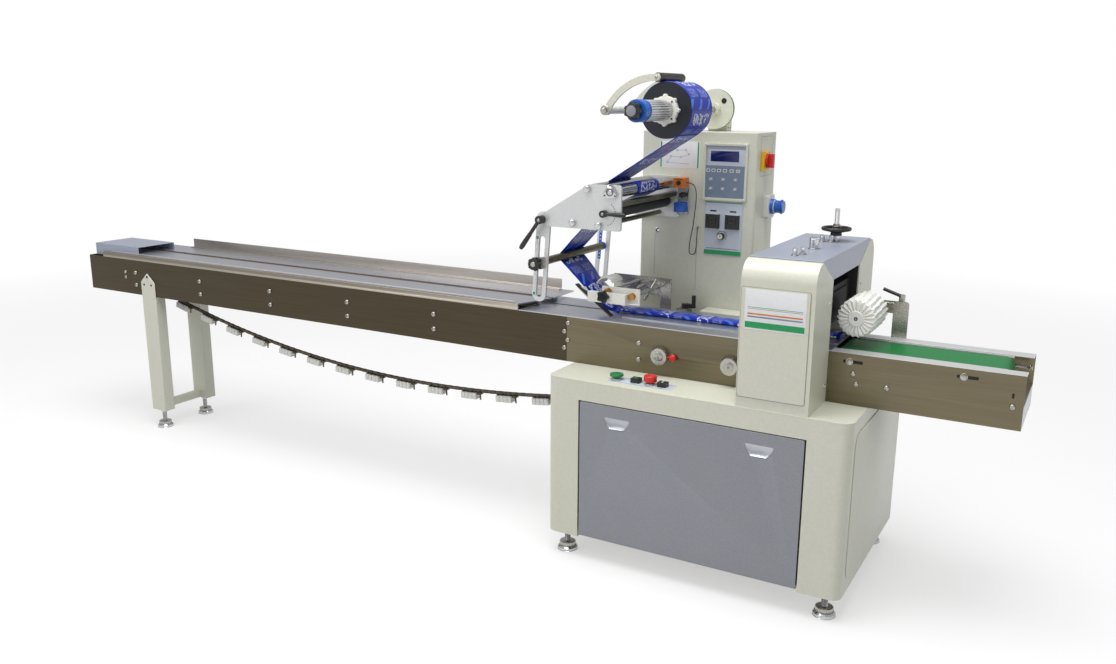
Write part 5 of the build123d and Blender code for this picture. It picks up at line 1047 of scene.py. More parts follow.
def beltLoop(first, second, y, r):
    away = math.atan2(second[1] - first[1], second[0] - first[0])
    halves = ((first, away + math.pi / 2), (second, away - math.pi / 2))
    points = []
    for centre, start in halves:
        for index in range(beltLook["halfSteps"] + 1):
            turn = start + math.pi * index / beltLook["halfSteps"]
            points.append((centre[0] + r * math.cos(turn), y, centre[1] + r * math.sin(turn)))
    return points


bm = bmesh.new()
fasten(bm, tube(beltLoop(beltLook["pivot"], beltLook["brush"], beltLook["armY"],
                         beltLook["pulleyR"]), beltLook["cordR"], True, beltLook["cordSides"]))
x, z = beltLook["brush"]
fasten(bm, ring(*beltLook["pulley"]), 1, facing("back", x, beltLook["pulleyY"], z))
closePiece("brushBelt", bm, "brush_arm", "green_belt", "greenBelting", "clearAcrylic")

# Operator panel of the cabinet: a pale strip, a field with a row of keys over two rows of pads
panelLow, panelHigh = nodeBox("cabinet_panels")
operatorPanel = {"y": 171, "x": 913, "strip": (133, 10.5, 0.4, 0), "stripZ": 1267.25,
                 "field": (133, 104, 0.4, 0), "fieldZ": 1158, "padY": 170.6, "keyRow": 1194,
                 "keys": ((855.6, 3), (873.8, 3), (892.4, 3), (913, 3), (935.6, 5), (957.4, 6)),
                 "key": (13, 10, 0.4, 2), "keyRim": (13, 10, 1.8, 0.7, 2),
                 "keyMark": (5, 3.2, 0.7, 1), "padRows": (1166, 1136),
                 "padColumns": (865.3, 907.2, 949.2), "pad": (17, 14, 0.3, 3),
                 "padRim": (17, 14, 1.2, 0.6, 3), "padMark": (8, 4, 0.6, 1), "markLean": 0.6,
                 "screw": (2.6, 1.2), "screwInsets": (24, 7), "screwDrop": (5, 179),
                 "screwDepth": 10}
bm = bmesh.new()
for shape, z, finishIndex in ((block(*operatorPanel["strip"]), operatorPanel["stripZ"], 4),
                              (block(*operatorPanel["field"]), operatorPanel["fieldZ"], 2)):
    fasten(bm, shape, finishIndex, facing("front", operatorPanel["x"], operatorPanel["y"], z))
for x, finishIndex in operatorPanel["keys"]:
    place = facing("front", x, operatorPanel["padY"], operatorPanel["keyRow"])
    fasten(bm, tab(*operatorPanel["key"]), 4, place)
    fasten(bm, hoop(*operatorPanel["keyRim"]), 1, place)
    fasten(bm, tab(*operatorPanel["keyMark"]), finishIndex, place)
for z in operatorPanel["padRows"]:
    for x in operatorPanel["padColumns"]:
        place = facing("front", x, operatorPanel["padY"], z)
        fasten(bm, tab(*operatorPanel["pad"]), 4, place)
        fasten(bm, hoop(*operatorPanel["padRim"]), 2, place)
        fasten(bm, tab(*operatorPanel["padMark"]), 1,
               place @ Matrix.Rotation(operatorPanel["markLean"], 4, "Z"))
leftInset, rightInset = operatorPanel["screwInsets"]
screws(bm, operatorPanel["screw"],
       [("front", x, panelLow.y + operatorPanel["screwDepth"], panelHigh.z - drop)
        for x in (panelLow.x + leftInset, panelHigh.x - rightInset)
        for drop in operatorPanel["screwDrop"]])
closePiece("operatorKeys", bm, "machine", "grey_plastic", "chromePlate", "whiteAbs", "panelFoil",
           "displayBlue", "blueGreyEnamel", "redAbs", "yellowAbs")

# Heater panel: lines and a band, two temperature controllers with unlit digits and keys, a dial
heaterPanel = {"y": 174, "x": 913.5,
               "marks": ((127, 2.4, 0.4, 1090, 0), (127, 15, 0.4, 926, 0), (113, 1.4, 0.3, 939, 1)),
               "controllerX": (877.5, 945.5), "controllerY": 164, "controllerZ": 1027.5,
               "face": (40, 40, 0.8, 2), "faceRise": 0.8, "window": (32, 9, 0.5, 1),
               "windowUp": (11, -1), "digit": (3.6, 5.6, 0.8, 0.3, 0.6),
               "digitShift": (-9, -3, 3, 9), "digitRise": 1.3, "key": (6, 5, 0.7, 1),
               "keyShift": (-13.5, -4.5, 4.5, 13.5), "keyUp": -13, "name": (22, 5, 0.3, 0),
               "nameUp": 35, "dial": (910, 981), "dialArc": (15.5, 17, -40, 220, 0.4),
               "dialRim": (11.4, 18, 0.4, 12, 0.8), "dialRimDepth": 2, "dialY": 158,
               "dialFace": ((0, 0), (9, 0), (9, 0.8), (0, 0.8)), "dialSteps": 28,
               "pointer": (1.6, 8, 0.4, 0), "pointerRise": 0.8, "pointerUp": 3}
bm = bmesh.new()
for length, width, height, z, finishIndex in heaterPanel["marks"]:
    fasten(bm, block(length, width, height, 0), finishIndex,
           facing("front", heaterPanel["x"], heaterPanel["y"], z))
for x in heaterPanel["controllerX"]:
    place = facing("front", x, heaterPanel["controllerY"], heaterPanel["controllerZ"])
    fasten(bm, tab(*heaterPanel["face"]), 2, place)
    for up in heaterPanel["windowUp"]:
        fasten(bm, tab(*heaterPanel["window"]), 1, shifted(place, 0, up, heaterPanel["faceRise"]))
    for up in heaterPanel["windowUp"]:
        for shift in heaterPanel["digitShift"]:
            fasten(bm, hoop(*heaterPanel["digit"]), 3,
                   shifted(place, shift, up, heaterPanel["digitRise"]))
    for shift in heaterPanel["keyShift"]:
        fasten(bm, tab(*heaterPanel["key"]), 5,
               shifted(place, shift, heaterPanel["keyUp"], heaterPanel["faceRise"]))
    fasten(bm, block(*heaterPanel["name"]), 1,
           facing("front", x, heaterPanel["y"], heaterPanel["controllerZ"] + heaterPanel["nameUp"]))
x, z = heaterPanel["dial"]
fasten(bm, ringPart(*heaterPanel["dialArc"]), 1, facing("front", x, heaterPanel["y"], z))
fasten(bm, lobedDisc(*heaterPanel["dialRim"]), 5,
       facing("front", x, heaterPanel["y"] - heaterPanel["dialRimDepth"], z))
dialPlace = facing("front", x, heaterPanel["dialY"], z)
fasten(bm, turned(heaterPanel["dialFace"], heaterPanel["dialSteps"]), 6, dialPlace)
fasten(bm, block(*heaterPanel["pointer"]), 1,
       shifted(dialPlace, 0, heaterPanel["pointerUp"], heaterPanel["pointerRise"]))
closePiece("heaterControls", bm, "machine", "grey_plastic", "greenFoil", "mattBlack",
           "blackPhenolic", "digitGrey", "redAbs", "blackPhenolic", "brightStainless")

# Cabinet face: film path sticker with thin generic lines
cabinetLow, cabinetHigh = nodeBox("control_cabinet")
sticker = {"x": 750, "z": 1240, "sheet": (142, 88, 0.4, 1), "rise": 0.4, "stripe": (5, 84, 0.2, 0),
           "stripeX": (-66, 66), "lineWidth": 0.9, "lineHeight": 0.15,
           "path": ((-40, 28), (-8, 14), (22, 16), (34, 2), (6, -8), (-30, -6), (-44, -26),
                    (36, -30)), "dot": (2.6, 3.5, 0.2, 0.05, 20)}
bm = bmesh.new()
stickerPlace = facing("front", sticker["x"], cabinetLow.y, sticker["z"])
fasten(bm, tab(*sticker["sheet"]), 0, stickerPlace)
for x in sticker["stripeX"]:
    fasten(bm, block(*sticker["stripe"]), 1, shifted(stickerPlace, x, 0, sticker["rise"]))
for start, end in zip(sticker["path"], sticker["path"][1:]):
    lean = math.atan2(end[1] - start[1], end[0] - start[0])
    middle = shifted(stickerPlace, (start[0] + end[0]) / 2, (start[1] + end[1]) / 2, sticker["rise"])
    fasten(bm, block(math.hypot(end[0] - start[0], end[1] - start[1]), sticker["lineWidth"],
                     sticker["lineHeight"], 0), 2, middle @ Matrix.Rotation(lean, 4, "Z"))
for x, z in sticker["path"][:-1]:
    fasten(bm, ring(*sticker["dot"]), 2, shifted(stickerPlace, x, z, sticker["rise"]))
closePiece("pathSticker", bm, "machine", "white_plastic", "signFoil", "greenFoil", "panelFoil")

# Seams of the cabinet's covers, its locks with black key slots that are painted shade, and louvres
# in the back
seams = {"front": ((670, 902.5, 143), (822, 889, 192)), "width": 1.6, "height": 0.3,
         "side": (120, 128, 1.4, 0.4, 10), "sidePlace": (272, 1240),
         "back": (330, 620, 1.6, 0.4, 8), "backPlace": (815, 950)}
lockLook = {"front": (678, 986), "back": (676, 950), "steps": 28, "rise": 3.4,
            "head": ((0, 0), (9, 0), (9, 2), (7, 3.4), (0, 3.4)), "slot": (1.6, 7, 0.4, 0),
            "louvre": (150, 5, 2.4, 2.4, 0.8), "louvres": 9, "louvreX": 815, "louvreZ": 700,
            "louvrePitch": 13}
bm = bmesh.new()
for x, z, length in seams["front"]:
    fasten(bm, block(seams["width"], length, seams["height"], 0), 0,
           facing("front", x, cabinetLow.y, z))
fasten(bm, hoop(*seams["side"]), 0, facing("right", cabinetHigh.x, *seams["sidePlace"]))
x, z = seams["backPlace"]
fasten(bm, hoop(*seams["back"]), 0, facing("back", x, cabinetHigh.y, z))
closePiece("cabinetSeams", bm, "machine", "cream_paint", "seamAndShadowCream")
bm = bmesh.new()
for side, y in (("front", cabinetLow.y), ("back", cabinetHigh.y)):
    x, z = lockLook[side]
    place = facing(side, x, y, z)
    fasten(bm, turned(lockLook["head"], lockLook["steps"]), 0, place)
    # A black block for the key slot: painted shade
    fasten(bm, block(*lockLook["slot"]), 1, shifted(place, 0, 0, lockLook["rise"]))
for index in range(lockLook["louvres"]):
    fasten(bm, tab(*lockLook["louvre"]), 2,
           facing("back", lockLook["louvreX"], cabinetHigh.y,
                  lockLook["louvreZ"] + lockLook["louvrePitch"] * index))
closePiece("cabinetLocks", bm, "machine", "chrome", "chromePlate", "mattBlack", "creamEnamel")

# Main switch disc ring and plug ribs on the cabinet's side
fittingLook = {"switch": (1026, 247, 1226), "switchRing": (23.6, 28.5, 1.4),
               "screwX": 1026, "screws": ((222, 1201), (272, 1201), (222, 1251), (272, 1251)),
               "screw": (2.6, 1.2), "plug": (295, 1075), "sleeve": (19.6, 23.5, 13),
               "sleeveX": 1035, "rib": (19.6, 21, 2.2), "ribX": (1050, 1056), "collarX": 1062,
               "collar": ((17, 0), (20, 0), (24, 6), (24, 8), (21.5, 8), (17, 2), (17, 0)),
               "collarSteps": 32}
bm = bmesh.new()
fasten(bm, ring(*fittingLook["switchRing"]), 0, facing("right", *fittingLook["switch"]))
screws(bm, fittingLook["screw"],
       [("right", fittingLook["screwX"], y, z) for y, z in fittingLook["screws"]], 1)
plugParts = [(ring(*fittingLook["sleeve"]), 3, fittingLook["sleeveX"])]
plugParts += [(ring(*fittingLook["rib"]), 2, x) for x in fittingLook["ribX"]]
plugParts += [(turned(fittingLook["collar"], fittingLook["collarSteps"]), 2,
               fittingLook["collarX"])]
for shape, finishIndex, x in plugParts:
    fasten(bm, shape, finishIndex, facing("right", x, *fittingLook["plug"]))
closePiece("fittingTrim", bm, "machine", "white_plastic", "yellowAbs", "brightStainless",
           "blueAbs", "whiteAbs")

# Film unit: the bearing's flange and screws, a dotted arc beside the nip lever, nuts behind
unitBack = nodeBox("unit_plates")[1].y
unitLook = {"bearing": (724, -275, 1150, 90), "flange": (20, 3, 4, 2.2, 0.6), "flangeScrewR": 20,
            "flangeScrew": (2.8,), "flangeRise": 2, "seal": (9, 11.5, 3.2), "axle": (6, 3.6, 0.8),
            "nip": (704, 1085), "dots": 11, "dot": (1.6, 0.4, 0.05, 10), "dotReach": 36,
            "dotStart": 50, "dotPitch": 12, "faceY": -269, "nut": (7, 6),
            "nuts": ((724, 1150), (646, 1156), (712, 1088), (686, 1048), (596, 1051))}
bm = bmesh.new()
place = facing("front", *unitLook["bearing"])
fasten(bm, lobedDisc(*unitLook["flange"]), 0, place)
for index in range(3):
    lobe = place @ Matrix.Rotation(math.radians(120 * index), 4, "Z")
    fasten(bm, screwHead(*unitLook["flangeScrew"]), 1,
           shifted(lobe, unitLook["flangeScrewR"], 0, unitLook["flangeRise"]))
fasten(bm, ring(*unitLook["seal"]), 1, place)
fasten(bm, rod(*unitLook["axle"]), 0, place)
x, z = unitLook["nip"]
for index in range(unitLook["dots"]):
    turn = math.radians(unitLook["dotStart"] - unitLook["dotPitch"] * index)
    fasten(bm, rod(*unitLook["dot"]), 2,
           facing("front", x + unitLook["dotReach"] * math.cos(turn), unitLook["faceY"],
                  z + unitLook["dotReach"] * math.sin(turn)))
for x, z in unitLook["nuts"]:
    fasten(bm, hexNut(*unitLook["nut"]), 0, facing("back", x, unitBack, z))
closePiece("unitBolts", bm, "machine", "chrome", "chromePlate", "oiledSteel", "displayBlue")

# A scale on each slotted link: white with green ends and ticks in front, a blue strip behind
linkLow, linkHigh = nodeBox("slotted_links")
scaleLook = {"lean": 4.13, "rise": 0.5, "front": (459, 905.6), "strip": (9, 192, 0.5, 1),
             "end": (8, 9, 0.2, 0), "endShift": 90, "ticks": 25, "tickPitch": 6.6,
             "tick": (0.6, 0.15, 0), "tickLength": 3, "longTick": 5.5, "longEvery": 5,
             "tickShift": 1, "back": (470, 965), "backDepth": 8, "backStrip": (12, 192, 0.5, 1),
             "dots": 15, "dotPitch": 12.6, "dot": (2.2, 0.2, 0.05, 12)}
leaned = Matrix.Rotation(math.radians(-scaleLook["lean"]), 4, "Z")
bm = bmesh.new()
x, z = scaleLook["front"]
place = facing("front", x, linkLow.y, z) @ leaned
fasten(bm, tab(*scaleLook["strip"]), 0, place)
for side in (-1, 1):
    fasten(bm, block(*scaleLook["end"]), 1,
           shifted(place, 0, side * scaleLook["endShift"], scaleLook["rise"]))
for index in range(scaleLook["ticks"]):
    length = scaleLook["tickLength"] if index % scaleLook["longEvery"] else scaleLook["longTick"]
    fasten(bm, block(length, *scaleLook["tick"]), 2,
           shifted(place, scaleLook["tickShift"],
                   scaleLook["tickPitch"] * (index - scaleLook["ticks"] // 2), scaleLook["rise"]))
x, z = scaleLook["back"]
place = facing("front", x, linkHigh.y - scaleLook["backDepth"], z) @ leaned
fasten(bm, tab(*scaleLook["backStrip"]), 3, place)
for index in range(scaleLook["dots"]):
    fasten(bm, rod(*scaleLook["dot"]), 0,
           shifted(place, 0, scaleLook["dotPitch"] * (index - scaleLook["dots"] // 2),
                   scaleLook["rise"]))
closePiece("linkScales", bm, "machine", "white_plastic", "signFoil", "greenFoil", "mattBlack",
           "blueAbs")

# Star knob of the dancer bar with its nut, bolt and blue ring
dancerLow, dancerHigh = nodeBox("dancer_bar")
dancerX = (dancerLow.x + dancerHigh.x) / 2
dancerZ = (dancerLow.z + dancerHigh.z) / 2
knobDress = {"knob": (19, 5, 3.2, 19, 3), "knobY": -289, "bolt": (8, 3.6, 0.8), "boltY": -307.4,
             "nut": (6, 4), "nutY": 169, "ring": (12.6, 15, 18), "ringY": -235}
bm = bmesh.new()
for shape, finishIndex, side, y in (
        (lobedDisc(*knobDress["knob"]), 0, "front", knobDress["knobY"]),
        (rod(*knobDress["bolt"]), 1, "front", knobDress["boltY"]),
        (hexNut(*knobDress["nut"]), 1, "back", knobDress["nutY"]),
        (ring(*knobDress["ring"]), 2, "front", knobDress["ringY"])):
    fasten(bm, shape, finishIndex, facing(side, dancerX, y, dancerZ))
closePiece("dancerKnob", bm, "machine", "black_plastic", "blackPhenolic", "brightStainless",
           "blueAbs")

# Grips of the link's clamp lever and of the nip lever
leverLook = {"start": (487, -287, 1054), "end": (418.8, -287, 960.2), "gripFrom": 0.45,
             "endGap": 2, "footR": 5.6, "neckR": 7, "neckAt": 6, "gripR": 8.2, "gripDrop": 10,
             "shoulderDrop": 2, "tipR": 4, "steps": 20, "screw": (5, 2),
             "screwPlace": (487, -293, 1054)}
bm = bmesh.new()
leverEnd = Vector(leverLook["end"])
gripStart = Vector(leverLook["start"]).lerp(leverEnd, leverLook["gripFrom"])
gripLength = distance(gripStart, leverEnd) - leverLook["endGap"]
fasten(bm, turned(((0, 0), (leverLook["footR"], 0), (leverLook["neckR"], leverLook["neckAt"]),
                   (leverLook["gripR"], gripLength - leverLook["gripDrop"]),
                   (leverLook["neckR"], gripLength - leverLook["shoulderDrop"]),
                   (leverLook["tipR"], gripLength), (0, gripLength)), leverLook["steps"]), 0,
       along(gripStart, leverEnd))
screws(bm, leverLook["screw"], [("front", *leverLook["screwPlace"])], 1)
closePiece("linkLeverGrip", bm, "machine", "black_plastic", "blackPhenolic", "brightStainless")
nipLow, nipHigh = nodeBox("nip_lever")
nipLook = {"grip": ((0, 0), (5.2, 0), (6.6, 8), (6.8, 36), (5, 42), (0, 43)), "steps": 20,
           "reach": 42.5, "y": -280.3, "x": 704, "z": 1085, "screw": (4.2, 1.8)}
bm = bmesh.new()
fasten(bm, turned(nipLook["grip"], nipLook["steps"]), 0,
       facing("right", nipHigh.x - nipLook["reach"], nipLook["y"], nipLook["z"]))
screws(bm, nipLook["screw"], [("front", nipLook["x"], nipLow.y, nipLook["z"])], 1)
closePiece("nipLeverGrip", bm, "nip_lever", "black_plastic", "blackPhenolic", "brightStainless")

# Edge sensor on the back plate: the lens and its slit, the clamp knob and two screws
sensorLook = {"lens": ((0, 0), (8, 0), (8, 1.5), (6, 2.2), (0, 2.2)), "lensSteps": 24,
              "lensPlace": (773, 121, 1152), "slit": (26, 2, 0.5, 0), "slitPlace": (773, 121, 1164),
              "knob": (9.6, 8, 0.8, 7, 1), "knobPlace": (778, 145, 1111), "screw": (3,),
              "screws": (("front", 761, 165, 1094), ("front", 785, 165, 1094))}
bm = bmesh.new()
fasten(bm, turned(sensorLook["lens"], sensorLook["lensSteps"]), 0,
       facing("front", *sensorLook["lensPlace"]))
fasten(bm, block(*sensorLook["slit"]), 1, facing("front", *sensorLook["slitPlace"]))
fasten(bm, lobedDisc(*sensorLook["knob"]), 1, facing("front", *sensorLook["knobPlace"]))
screws(bm, sensorLook["screw"], sensorLook["screws"], 2)
closePiece("sensorTrim", bm, "machine", "blue_plastic", "mattBlack", "blackPhenolic",
           "brightStainless")

# Film roll: printed face, dark wound ends and a kraft core. Its map runs round and along it
rollLook = {"r": 84, "coreR": 42, "boreR": 38.2, "edge": 1.2, "steps": 96}
rollLength = rollHigh.y - rollLow.y
rollShoulder = rollLook["r"] - rollLook["edge"]
bm = turned(((rollLook["boreR"], 0), (rollLook["coreR"], 0), (rollShoulder, 0),
             (rollLook["r"], rollLook["edge"]), (rollLook["r"], rollLength - rollLook["edge"]),
             (rollShoulder, rollLength), (rollLook["coreR"], rollLength),
             (rollLook["boreR"], rollLength), (rollLook["boreR"], 0)), rollLook["steps"])
bmesh.ops.recalc_face_normals(bm, faces=bm.faces)
filmMap = bm.loops.layers.uv.new("film")
for face in bm.faces:
    middle = face.calc_center_median()
    reach = middle.xy.length
    face.material_index = 0 if reach > rollLook["r"] - 1 else 1 if reach > rollLook["coreR"] else 2
    faceTurn = math.atan2(middle.y, middle.x)
    for loop in face.loops:
        turn = math.atan2(loop.vert.co.y, loop.vert.co.x)
        turn += 2 * math.pi * round((faceTurn - turn) / (2 * math.pi))
        loop[filmMap].uv = (turn * rollLook["r"] / 1000, loop.vert.co.z / 1000)
bmesh.ops.transform(bm, matrix=facing("back", rollCentre.x, rollLow.y, rollCentre.z),
                    verts=bm.verts)
roll = closePiece("filmRoll", bm, "reel", "blue_film", "printedFilm", "woundEnd", "kraftPaper")
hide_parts("film_roll")


# A place on the reel's axis
def onReel(side, y, turn=0):
    return facing(side, rollCentre.x, y, rollCentre.z, turn)


# Mandrel in front of the roll: ribbed sleeve, collar rings, screws in the core plug
reelLook = {"sleeve": (29.4, 24, 0.9, 150, 1.5), "sleeveY": -140, "ring": (30.5, 32.2, 3.5),
            "ringY": (-296, -328), "screws": 4, "screwStart": 45, "screwReach": 35,
            "screw": (3,), "knob": (23, 7, 2.4, 30, 4), "knobY": -334, "faceY": -364,
            "face": ((0, 0), (15, 0), (15, 1.2), (12, 2), (0, 2)), "faceSteps": 32,
            "brakeBand": (62, 65.4, 11, 1.5, 64), "brakeY": 271.5, "hole": (9, 0.5, 0.1),
            "holeY": 270, "holeReach": 42, "holeTurns": (40, 220)}
bm = bmesh.new()
fasten(bm, lobedDisc(*reelLook["sleeve"]), 0, onReel("front", reelLook["sleeveY"]))
for y in reelLook["ringY"]:
    fasten(bm, ring(*reelLook["ring"]), 1, onReel("front", y))
for index in range(reelLook["screws"]):
    turn = reelLook["screwStart"] + 360 / reelLook["screws"] * index
    fasten(bm, screwHead(*reelLook["screw"]), 2,
           shifted(onReel("front", reelLook["sleeveY"], turn), reelLook["screwReach"], 0))
closePiece("reelSleeve", bm, "reel", "aluminium", "anodisedAluminium", "blueAbs", "mattBlack")

# Star knob with a grey face at the mandrel's end, and the brake disc's belt and holes; the holes are
# black discs, painted shade
bm = bmesh.new()
fasten(bm, lobedDisc(*reelLook["knob"]), 0, onReel("front", reelLook["knobY"]))
fasten(bm, turned(reelLook["face"], reelLook["faceSteps"]), 1, onReel("front", reelLook["faceY"]))
starKnob = closePiece("reelStarKnob", bm, "reel", "black_plastic", "blackPhenolic",
                      "greyEnamel")
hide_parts("reel_knob")
bm = bmesh.new()
fasten(bm, ring(*reelLook["brakeBand"]), 0, onReel("back", reelLook["brakeY"]))
# Black discs for the disc's holes: painted shade
for turn in reelLook["holeTurns"]:
    fasten(bm, rod(*reelLook["hole"]), 1,
           shifted(onReel("front", reelLook["holeY"], turn), reelLook["holeReach"], 0))
closePiece("brakeBelt", bm, "reel", "green_belt", "greenBelting", "mattBlack")

# Pivot bolt of the tension arm, bolts of its roller and of the unwind box
unwindLook = {"boss": (15, 3, 0.8), "bossPlace": (640, -153.5, 1385), "nut": (9, 6),
              "nutPlace": (640, -156, 1385), "screw": (3.4,), "screwX": 863,
              "screws": ((316, 1326), (316, 1410), (337, 1326), (337, 1410)),
              "rollerBolt": (5,), "rollerBolts": (("front", 804, -145, 1482),
                                                  ("back", 804, 53, 1482))}
bm = bmesh.new()
fasten(bm, rod(*unwindLook["boss"]), 1, facing("front", *unwindLook["bossPlace"]))
fasten(bm, hexNut(*unwindLook["nut"]), 1, facing("front", *unwindLook["nutPlace"]))
screws(bm, unwindLook["screw"],
       [("right", unwindLook["screwX"], y, z) for y, z in unwindLook["screws"]])
closePiece("unwindBolts", bm, "machine", "chrome", "greyEnamel", "brightStainless")
bm = bmesh.new()
screws(bm, unwindLook["rollerBolt"], unwindLook["rollerBolts"])
closePiece("tensionBolts", bm, "tension_arm", "chrome", "brightStainless")

# Fixing screws of the tail cover
tailLow, tailHigh = nodeBox("tail_cover")
tailLook = {"screw": (4,), "x": (40, 245), "y": (18, 167)}
bm = bmesh.new()
screws(bm, tailLook["screw"], [("up", tailLow.x + x, tailLow.y + y, tailHigh.z)
                               for x in tailLook["x"] for y in tailLook["y"]])
closePiece("tailScrews", bm, "machine", "chrome", "brightStainless")
print("detail pieces made")

# The film web in the X and Z plane: from the roll over the unit's bars and rollers, round the
# dancer bar and down to the former. Each stop is a centre, a radius and the way it turns
webLook = {"gap": 0.8, "step": 9.0, "arcStep": 3, "columns": 20, "front": -126, "back": 34,
           "crumple": 1.1, "crumpleAlong": 34, "crumpleAcross": 26, "crumpleSeed": 3.1,
           "foldCrumple": 5, "fold": 26, "foldFrom": 0.45, "narrowing": 1.5, "entrySteps": 14,
           "dive": 0.8, "openingUp": 0.6, "thicknessMm": 0.4,
           "roll": (rollCentre.x, rollCentre.z, 84, -1),
           "stops": ((646, 1156, 12.5, 1), (724, 1150, 20, -1), (596, 1051, 8, 1),
                     (dancerX, dancerZ, 12.5, 1)),
           "former": (600, 790), "formerWidth": 106, "tubeStart": (664, 750), "tubeWidth": 62}


def tangent(start, end):
    (x0, z0, r0, turn0), (x1, z1, r1, turn1) = start, end
    lean = math.asin((turn0 * r0 - turn1 * r1) / math.hypot(x1 - x0, z1 - z0))
    heading = math.atan2(z1 - z0, x1 - x0) + lean
    side = (math.sin(heading), -math.cos(heading))
    first = (x0 + turn0 * r0 * side[0], z0 + turn0 * r0 * side[1])
    second = (x1 + turn1 * r1 * side[0], z1 + turn1 * r1 * side[1])
    return first, second, heading


# Points of the web, each with how free it is: 0 on a roller, 1 in the middle of a span
def webPath(look):
    stops = [look["roll"], *look["stops"]]
    stops = [(x, z, r + look["gap"], turn) for x, z, r, turn in stops]
    ends = [*stops[1:], (*look["former"], 0, stops[-1][3])]
    spans = [tangent(*pair) for pair in zip(stops, ends)]
    path = []
    for index, (first, second, heading) in enumerate(spans):
        if index:
            x, z, r, turn = stops[index]
            start = spans[index - 1][2] - turn * math.pi / 2
            end = heading - turn * math.pi / 2
            while turn * (end - start) < 0:
                end += turn * 2 * math.pi
            arcSteps = max(3, int(abs(end - start) * r / look["arcStep"]))
            for step in range(1, arcSteps):
                angle = start + (end - start) * step / arcSteps
                path.append((x + r * math.cos(angle), z + r * math.sin(angle), 0))
        steps = max(2, int(math.dist(first, second) / look["step"]))
        for step in range(steps + 1):
            share = step / steps
            path.append((first[0] + (second[0] - first[0]) * share,
                         first[1] + (second[1] - first[1]) * share, math.sin(math.pi * share)))
    return path


# Sweeps a row of points along the path. Past the dancer bar the row narrows and folds down at
# its edges, and free stretches are lightly crumpled
def sweepFilm(name, path, width, fold, look, slotName):
    bm = bmesh.new()
    place = {}
    middle = (look["front"] + look["back"]) / 2
    travelled = 0
    row = None
    for index, (x, z, free) in enumerate(path):
        if index:
            travelled += math.dist(path[index - 1][:2], (x, z))
        before = path[max(index - 1, 0)]
        after = path[min(index + 1, len(path) - 1)]
        heading = Vector((after[0] - before[0], 0, after[1] - before[1])).normalized()
        normal = Vector((-heading.z, 0, heading.x))
        narrow = width(index)
        folded = fold(index)
        points = []
        for column in range(look["columns"] + 1):
            side = 2 * column / look["columns"] - 1
            flatSide = side * look["back"] / 2 - side * look["front"] / 2
            y = middle + side * narrow / 2
            drop = max(0, abs(side) - look["foldFrom"]) / (1 - look["foldFrom"])
            drop *= folded * look["fold"]
            spot = (travelled / look["crumpleAlong"], flatSide / look["crumpleAcross"],
                    look["crumpleSeed"])
            wave = noise.noise(Vector(spot)) * look["crumple"]
            wave *= free * (1 + look["foldCrumple"] * folded)
            point = Vector((x, y, z)) + normal * wave - Vector((0, 0, drop))
            points.append((point, (travelled / 1000, (flatSide - look["front"] + middle) / 1000)))
        if row is None:
            row = [bm.verts.new(point) for point, flat in points]
            lines = [bm.edges.new(pair) for pair in zip(row, row[1:])]
        else:
            grown = bmesh.ops.extrude_edge_only(bm, edges=lines)["geom"]
            fresh = [item for item in grown if isinstance(item, bmesh.types.BMVert)]
            lines = [item for item in grown if isinstance(item, bmesh.types.BMEdge)
                     and all(end in fresh for end in item.verts)]
            twins = [next(other for line in vert.link_edges for other in line.verts
                          if other in row) for vert in fresh]
            row = [fresh[twins.index(vert)] for vert in row]
            for vert, (point, flat) in zip(row, points):
                vert.co = point
        for vert, (point, flat) in zip(row, points):
            place[vert] = flat
    filmMap = bm.loops.layers.uv.new("film")
    for face in bm.faces:
        for loop in face.loops:
            loop[filmMap].uv = place[loop.vert]
    piece = closePiece(name, bm, "machine", slotName, "printedFilm")
    thickness = piece.modifiers.new("thickness", "SOLIDIFY")
    thickness.thickness = look["thicknessMm"] / 1000
    thickness.offset = 0
    return piece, travelled / 1000


path = webPath(webLook)
formerStart = max(index for index, point in enumerate(path) if point[2] == 0)
lastSpan = len(path) - 1 - formerStart


# 0 until the film leaves the dancer bar, then up to 1 at the former
def nearFormer(index):
    return max(0, (index - formerStart) / lastSpan)


fullWidth = webLook["back"] - webLook["front"]
web, webLength = sweepFilm(
    "filmWeb", path,
    lambda index: (fullWidth + (webLook["formerWidth"] - fullWidth)
                   * nearFormer(index) ** webLook["narrowing"]),
    lambda index: nearFormer(index) ** 2, webLook, "blue_film")
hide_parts("film_web_upper", "film_web_unit")
print("film web", round(webLength, 3), "m")

# Past the former's edge the film dives to the deck and closes round the products
entryPath = []
entrySteps = webLook["entrySteps"]
(x0, z0), (x1, z1) = webLook["former"], webLook["tubeStart"]
for step in range(entrySteps + 1):
    share = step / entrySteps
    entryPath.append((x0 + (x1 - x0) * share, z0 + (z1 - z0) * share ** webLook["dive"],
                      math.sin(math.pi * share)))
entry = sweepFilm(
    "filmEntry", entryPath,
    lambda index: webLook["formerWidth"] + (webLook["tubeWidth"]
                                            - webLook["formerWidth"]) * index / entrySteps,
    lambda index: 1 - webLook["openingUp"] * index / entrySteps, webLook, "blue_film")[0]
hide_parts("film_web_lower")

